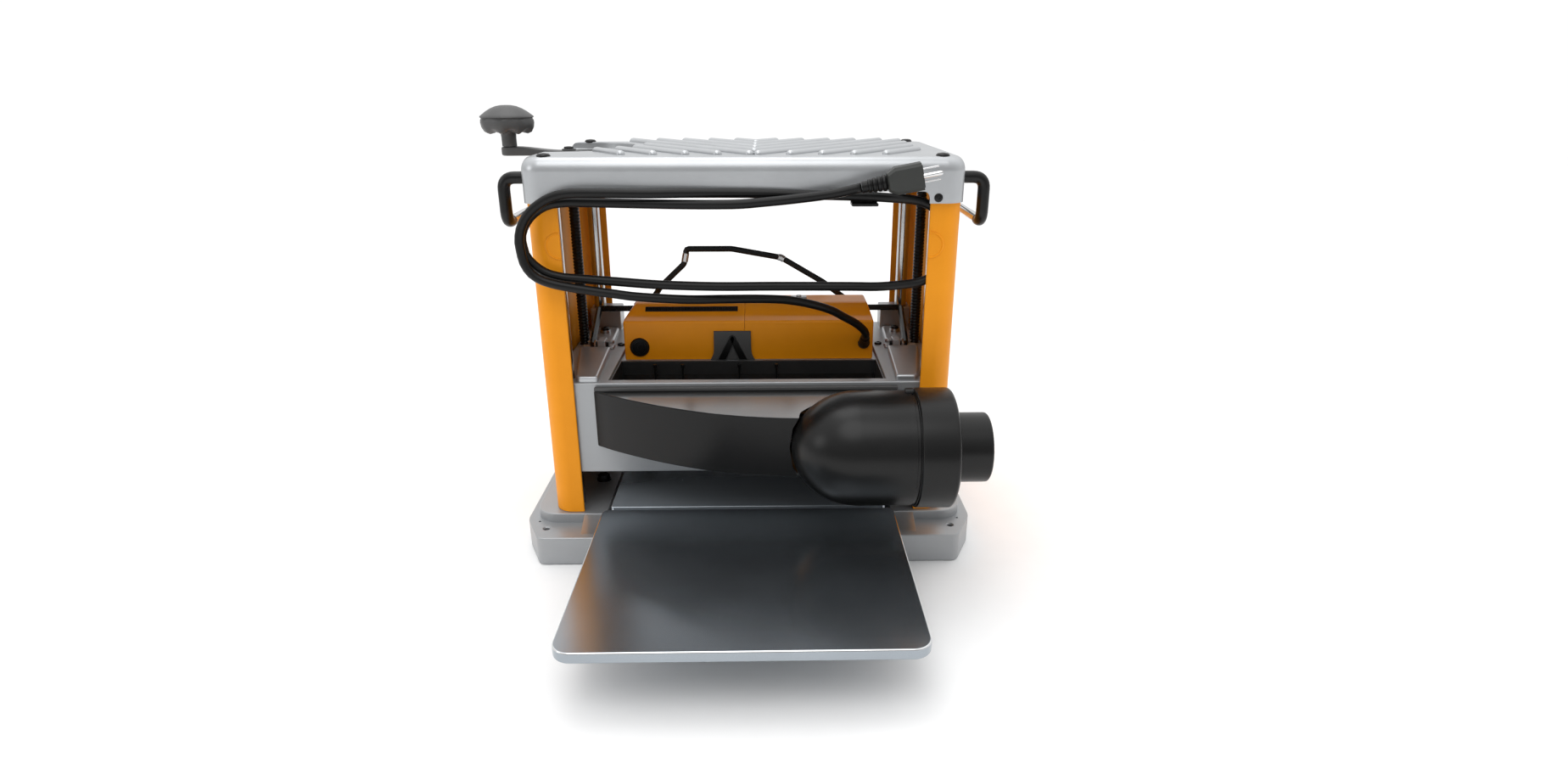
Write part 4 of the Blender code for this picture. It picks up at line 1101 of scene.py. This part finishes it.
def build_hood():
    low, high = span("dust_hood")
    axis = middle("dust_port_cap")
    bulge = [(-175, -131.5), (-150, -149), (-112, -171), (-70, -191), (-28, -206), (19, -215.5),
             (60, -219), (100, -218.5), (150, -200), (175, -160)]
    outline = curve_2d(bulge) + [(175, -131.5)]
    hood = new_object("hood_shell", soft_prism(outline, low.z, high.z, 1.3))
    inner = inset(outline, 3.2)
    inner = [(x, y) for x, y in inner if y < -136] + [(171.8, -125), (-163, -125)]
    hollow = soft_prism(inner, low.z + 3, high.z - 3, 1.0)
    room = [(0, 46), (22, 49.2), (38, 58), (51, 73), (59, 92), (61.6, 118), (64.5, 176), (64.5, 300),
            (0, 300)]
    carve(hood, [hollow, lathe(room, (0, axis.y, axis.z), "X", 72)])
    # The hood's top face takes the lighter, glossier copy of its black: painted sheen.
    sheen_top_z = (high.z - 1) * MM
    two_tone(hood, "hood", "hood_top_sheen", lambda face: face.normal.z > 0.9 and face.center.z > sheen_top_z)
    dress(hood, "hood", "carriage", ("dust_hood",), 30)
    tip, shoulder, radius, end = 48.0, 118.0, 61.0, 176.7
    profile = []
    for k in range(19):
        a = radians(90 * k / 18)
        profile.append((radius * sin(a), shoulder - (shoulder - tip) * cos(a)))
    inside = [(r * (radius - 3) / radius, x + 3.2 * (1 - (x - tip) / (shoulder - tip))) for r, x in profile]
    profile += [(radius, 150), (radius, end - 4.5), (radius - 1.4, end - 4.0), (radius - 1.4, end - 1.2),
                (radius + 0.6, end - 0.7), (radius + 0.6, end)]
    elbow = new_object("elbow_shell", lathe(profile + [(radius - 3, end)] + inside[::-1],
                                            (0, axis.y, axis.z), "X", 96))
    carve(elbow, [soft_box((75, -190, 138), (160, -140, 192), 3)])
    dress(elbow, "black", "carriage", ("dust_elbow",), 34)
    r, port = 63.5, 37.0
    cap = [(r - 6, 177), (r - 0.8, 177), (r, 177.8), (r, 212), (r - 0.5, 213.8), (r - 1.8, 215.2),
           (r - 5, 216.6), (port + 3, 217), (port + 1.0, 217.6), (port, 219.4), (port, 251),
           (port - 0.2, 253.2), (port - 1.4, 254.6), (port - 2.6, 254.6), (port - 3.2, 253.6),
           (port - 3.2, 214), (port + 1, 212.6), (r - 6, 212)]
    piece("port_cap", lathe(cap, (0, axis.y, axis.z), "X", 112, closed=True), "black", "carriage",
          ("dust_port_cap",), 34)
    bosses = []
    for angle in (86, 274):
        a = radians(angle)
        spot = Vector((0, axis.y + 61 * cos(a), axis.z + 61 * sin(a)))
        bosses.append(drum((spot.x, spot.y, spot.z), 4.6, 166, 175, "X", 1.0, 28))
    piece("cap_screws", bosses, "oxide", "carriage")
    low, high = span("hood_flange")
    piece("flange_bar", soft_box(low, high, 1.2, 1.6), "grey", "carriage", ("hood_flange",))
    seal = soft_box((low.x + 1, low.y - 0.5, low.z - 1.2), (high.x - 1, low.y + 2.5, low.z + 1.6), 0.5)
    piece("flange_seal", seal, "rubber", "carriage")


# ------------------------------------------------------- controls, scale, clip

def build_controls():
    low, high = span("switch_box")
    box = new_object("switch_housing", soft_prism(round_rect(low.x, low.z, high.x, high.z, 6),
                                                  low.y, high.y, 2.4, "Y", 4))
    carve(box, [soft_box((100, 138, 148), (146, 160, 192), 1.0, 3),
                lathe([(0, 140), (6.6, 140), (6.6, 150.6), (8.0, 152.6), (8.0, 160), (0, 160)],
                      (87, 0, 170), "Y", 48)])
    dress(box, "grey", "carriage", ("switch_box",), 34)
    low, high = span("switch_paddle")
    paddle = soft_prism(round_rect(low.x, low.z, high.x, high.z, 4), low.y, high.y, 2.4, "Y", 4)
    for v in paddle.verts:
        if v.co.y > high.y - 3:
            v.co.y -= 3.2 * cos((v.co.z - low.z) / (high.z - low.z) * pi - pi / 2)
    grips = []
    for k in range(5):
        z = low.z + 6 + 3.2 * k
        grips.append(capsule((low.x + 8, high.y - 2.0, z), (high.x - 8, high.y - 2.0, z), 0.9, 12, 3))
    piece("paddle_switch", [paddle] + grips, "orange", "switch_paddle", ("switch_paddle",))
    low, high = span("reset_button")
    button = [(0, low.y), (6, low.y), (6, high.y - 1.5), (5.4, high.y - 0.4), (4.4, high.y),
              (2, high.y - 0.5), (0, high.y - 0.7)]
    piece("reset_cap", lathe(button, (87, 0, 170), "Y", 48), "mark", "reset_button", ("reset_button",))
    centre = middle("depth_stop_knob")
    low, high = span("depth_stop_knob")

    def flutes(angle, radius, height):
        return radius + (0.7 * cos(14 * angle) if radius > 10 else 0), height

    knob = [(0, 0), (6, 0), (6, 5), (13.6, 5.6), (14.6, 7.2), (14.2, 15.4), (12.6, 17.4), (0, 18)]
    piece("depth_stop_dial", lathe(knob, (centre.x, low.y, centre.z), "Y", 112, lobes=flutes), "black",
          "depth_stop_knob", ("depth_stop_knob",))
    stripe = soft_box((-0.7, 17.6, 4), (0.7, 18.4, 12), 0.25)
    stripe.transform(Matrix.Translation((centre.x, low.y, centre.z)))
    piece("depth_stop_mark", stripe, "paper", "depth_stop_knob")
    seat = (centre.x, high.y - 18.4, centre.z)
    ring = [tube(seat, 15.6, 16.8, -0.4, 0.9, "Y", 0.3)]
    for k in range(9):
        a = radians(30 * k - 30)
        tick = soft_box((17.3, -0.2, -0.5), (19.4, 0.9, 0.5), 0.2)
        tick.transform(Matrix.Translation(seat) @ Matrix.Rotation(-a, 4, "Y"))
        ring.append(tick)
    piece("depth_stop_ring", ring, "paper", "base")
    post = span("side_cover_left")
    edge_x, face = post[1].x, post[1].y
    strip = soft_box((edge_x - 20, face, 150), (edge_x - 4, face + 0.7, 330), 0.3)
    piece("height_scale", strip, "paper", "base")
    ticks = []
    for k in range(57):
        z = 154 + 25.4 / 8 * k
        if z > 328:
            break
        long = 10 if k % 8 == 0 else 7 if k % 4 == 0 else 4.5
        start = edge_x - 5
        ticks.append(soft_box((start - long, face + 0.5, z - 0.35), (start, face + 0.95, z + 0.35), 0.1))
    piece("height_scale_ticks", ticks, "oxide", "base")
    arm = [soft_box((edge_x + 1.0, 126, 205), (edge_x + 12, face + 2.6, 219), 1.0),
           soft_box((edge_x - 7, face + 1.2, 211.2), (edge_x + 6, face + 2.6, 212.8), 0.4)]
    piece("height_pointer", arm, "mark", "carriage")
    low, high = span("cord_clip")
    piece("cord_hook", [soft_box(low, (high.x, high.y, low.z + 2.9), 0.8, 2.5),
                        soft_box((low.x, high.y - 4.4, low.z), (high.x, high.y, high.z), 0.8, 1.2)],
          "black", "base", ("cord_clip",))
    wall = []
    for s in BOTH:
        for k in range(4):
            x = s * (26 + 34 * k)
            wall.append(soft_box((x - 1.5, 129, 104), (x + 1.5, 133.5, 188), 1.0))
    wall.append(soft_box((-172, 129, 190), (172, 132.5, 196), 1.0))
    piece("carriage_front_ribs", wall, "casting", "carriage")


def build_inner():
    """Shafts, bearings and rollers that show through the throat and the open sides."""
    for name in ("infeed_roller", "outfeed_roller"):
        low, high = span(name)
        centre = (low + high) / 2
        r = (high.z - low.z) / 2
        profile = [(0, low.x), (6.5, low.x), (7, low.x + 0.8), (7, -152), (r - 1, -152), (r, -151)]
        profile += [(r, 151), (r - 1, 152), (7, 152), (7, high.x - 0.8), (6.5, high.x), (0, high.x)]

        def knurl(angle, radius, height, rim=r):
            return radius - (0.5 * (cos(18 * angle) < -0.6) if radius > rim - 0.5 else 0), height

        piece(f"{name}_sleeve", lathe(profile, (0, centre.y, centre.z), "X", 108, lobes=knurl),
              "rubber", name, (name,), 40)
    refine("cutterhead", 0.5, "machined", "cutterhead")
    for name in ("sprocket_left", "sprocket_right"):
        refine(name, 0.6, "machined", "crank" if "left" in name else "right_screw")
    refine("kickback_pawls", 0.6, "machined", "kickback_pawls")
    for name in ("lift_nut_left", "lift_nut_right"):
        refine(name, 0.6, "brass", "carriage")
    chain = []
    sprocket = middle("sprocket_right")
    half, r = sprocket.x, 17.0
    perimeter = 4 * half + tau * r
    links = 140
    for k in range(links):
        d = perimeter * k / links
        if d < 2 * half:
            x, y, a = -half + d, sprocket.y - r, 0.0
        elif d < 2 * half + pi * r:
            a = (d - 2 * half) / r
            x, y = half + r * sin(a), sprocket.y - r * cos(a)
        elif d < 4 * half + pi * r:
            x, y, a = half - (d - 2 * half - pi * r), sprocket.y + r, pi
        else:
            a = pi + (d - 4 * half - pi * r) / r
            x, y = -half + r * sin(a), sprocket.y - r * cos(a)
        wide = 1.4 if k % 2 else 1.0
        low = (-4.2, -1.6 - 0.2 * wide, 5.2 - wide * 0.4)
        high = (4.2, 1.6 + 0.2 * wide, 10.0 + wide * 0.4)
        link = soft_box(low, high, 0.5)
        link.transform(Matrix.Translation((x, y, 0)) @ Matrix.Rotation(a, 4, "Z"))
        chain.append(link)
    piece("roller_chain", chain, "oxide", "base", ("lift_chain",))


def dress_cad():
    """Carried-over CAD nodes keep their shape and take a finished material."""
    looks = {n["node"]: n["material_slot"] for n in frame["record"]["subparts"]}
    for name, obj in frame["nodes"].items():
        look = looks[name]
        if name.startswith("knife") or name == "motor_rotor":
            look = "machined"
        obj.data.materials.clear()
        obj.data.materials.append(MATERIALS[look])
        obj.data.shade_smooth()


build_stage()
dress_cad()
build_cord()
build_base()
build_tables()
build_posts()
build_cover()
build_crank()
build_handles()
build_carriage()
build_motor()
build_lever()
build_hood()
build_controls()
build_inner()
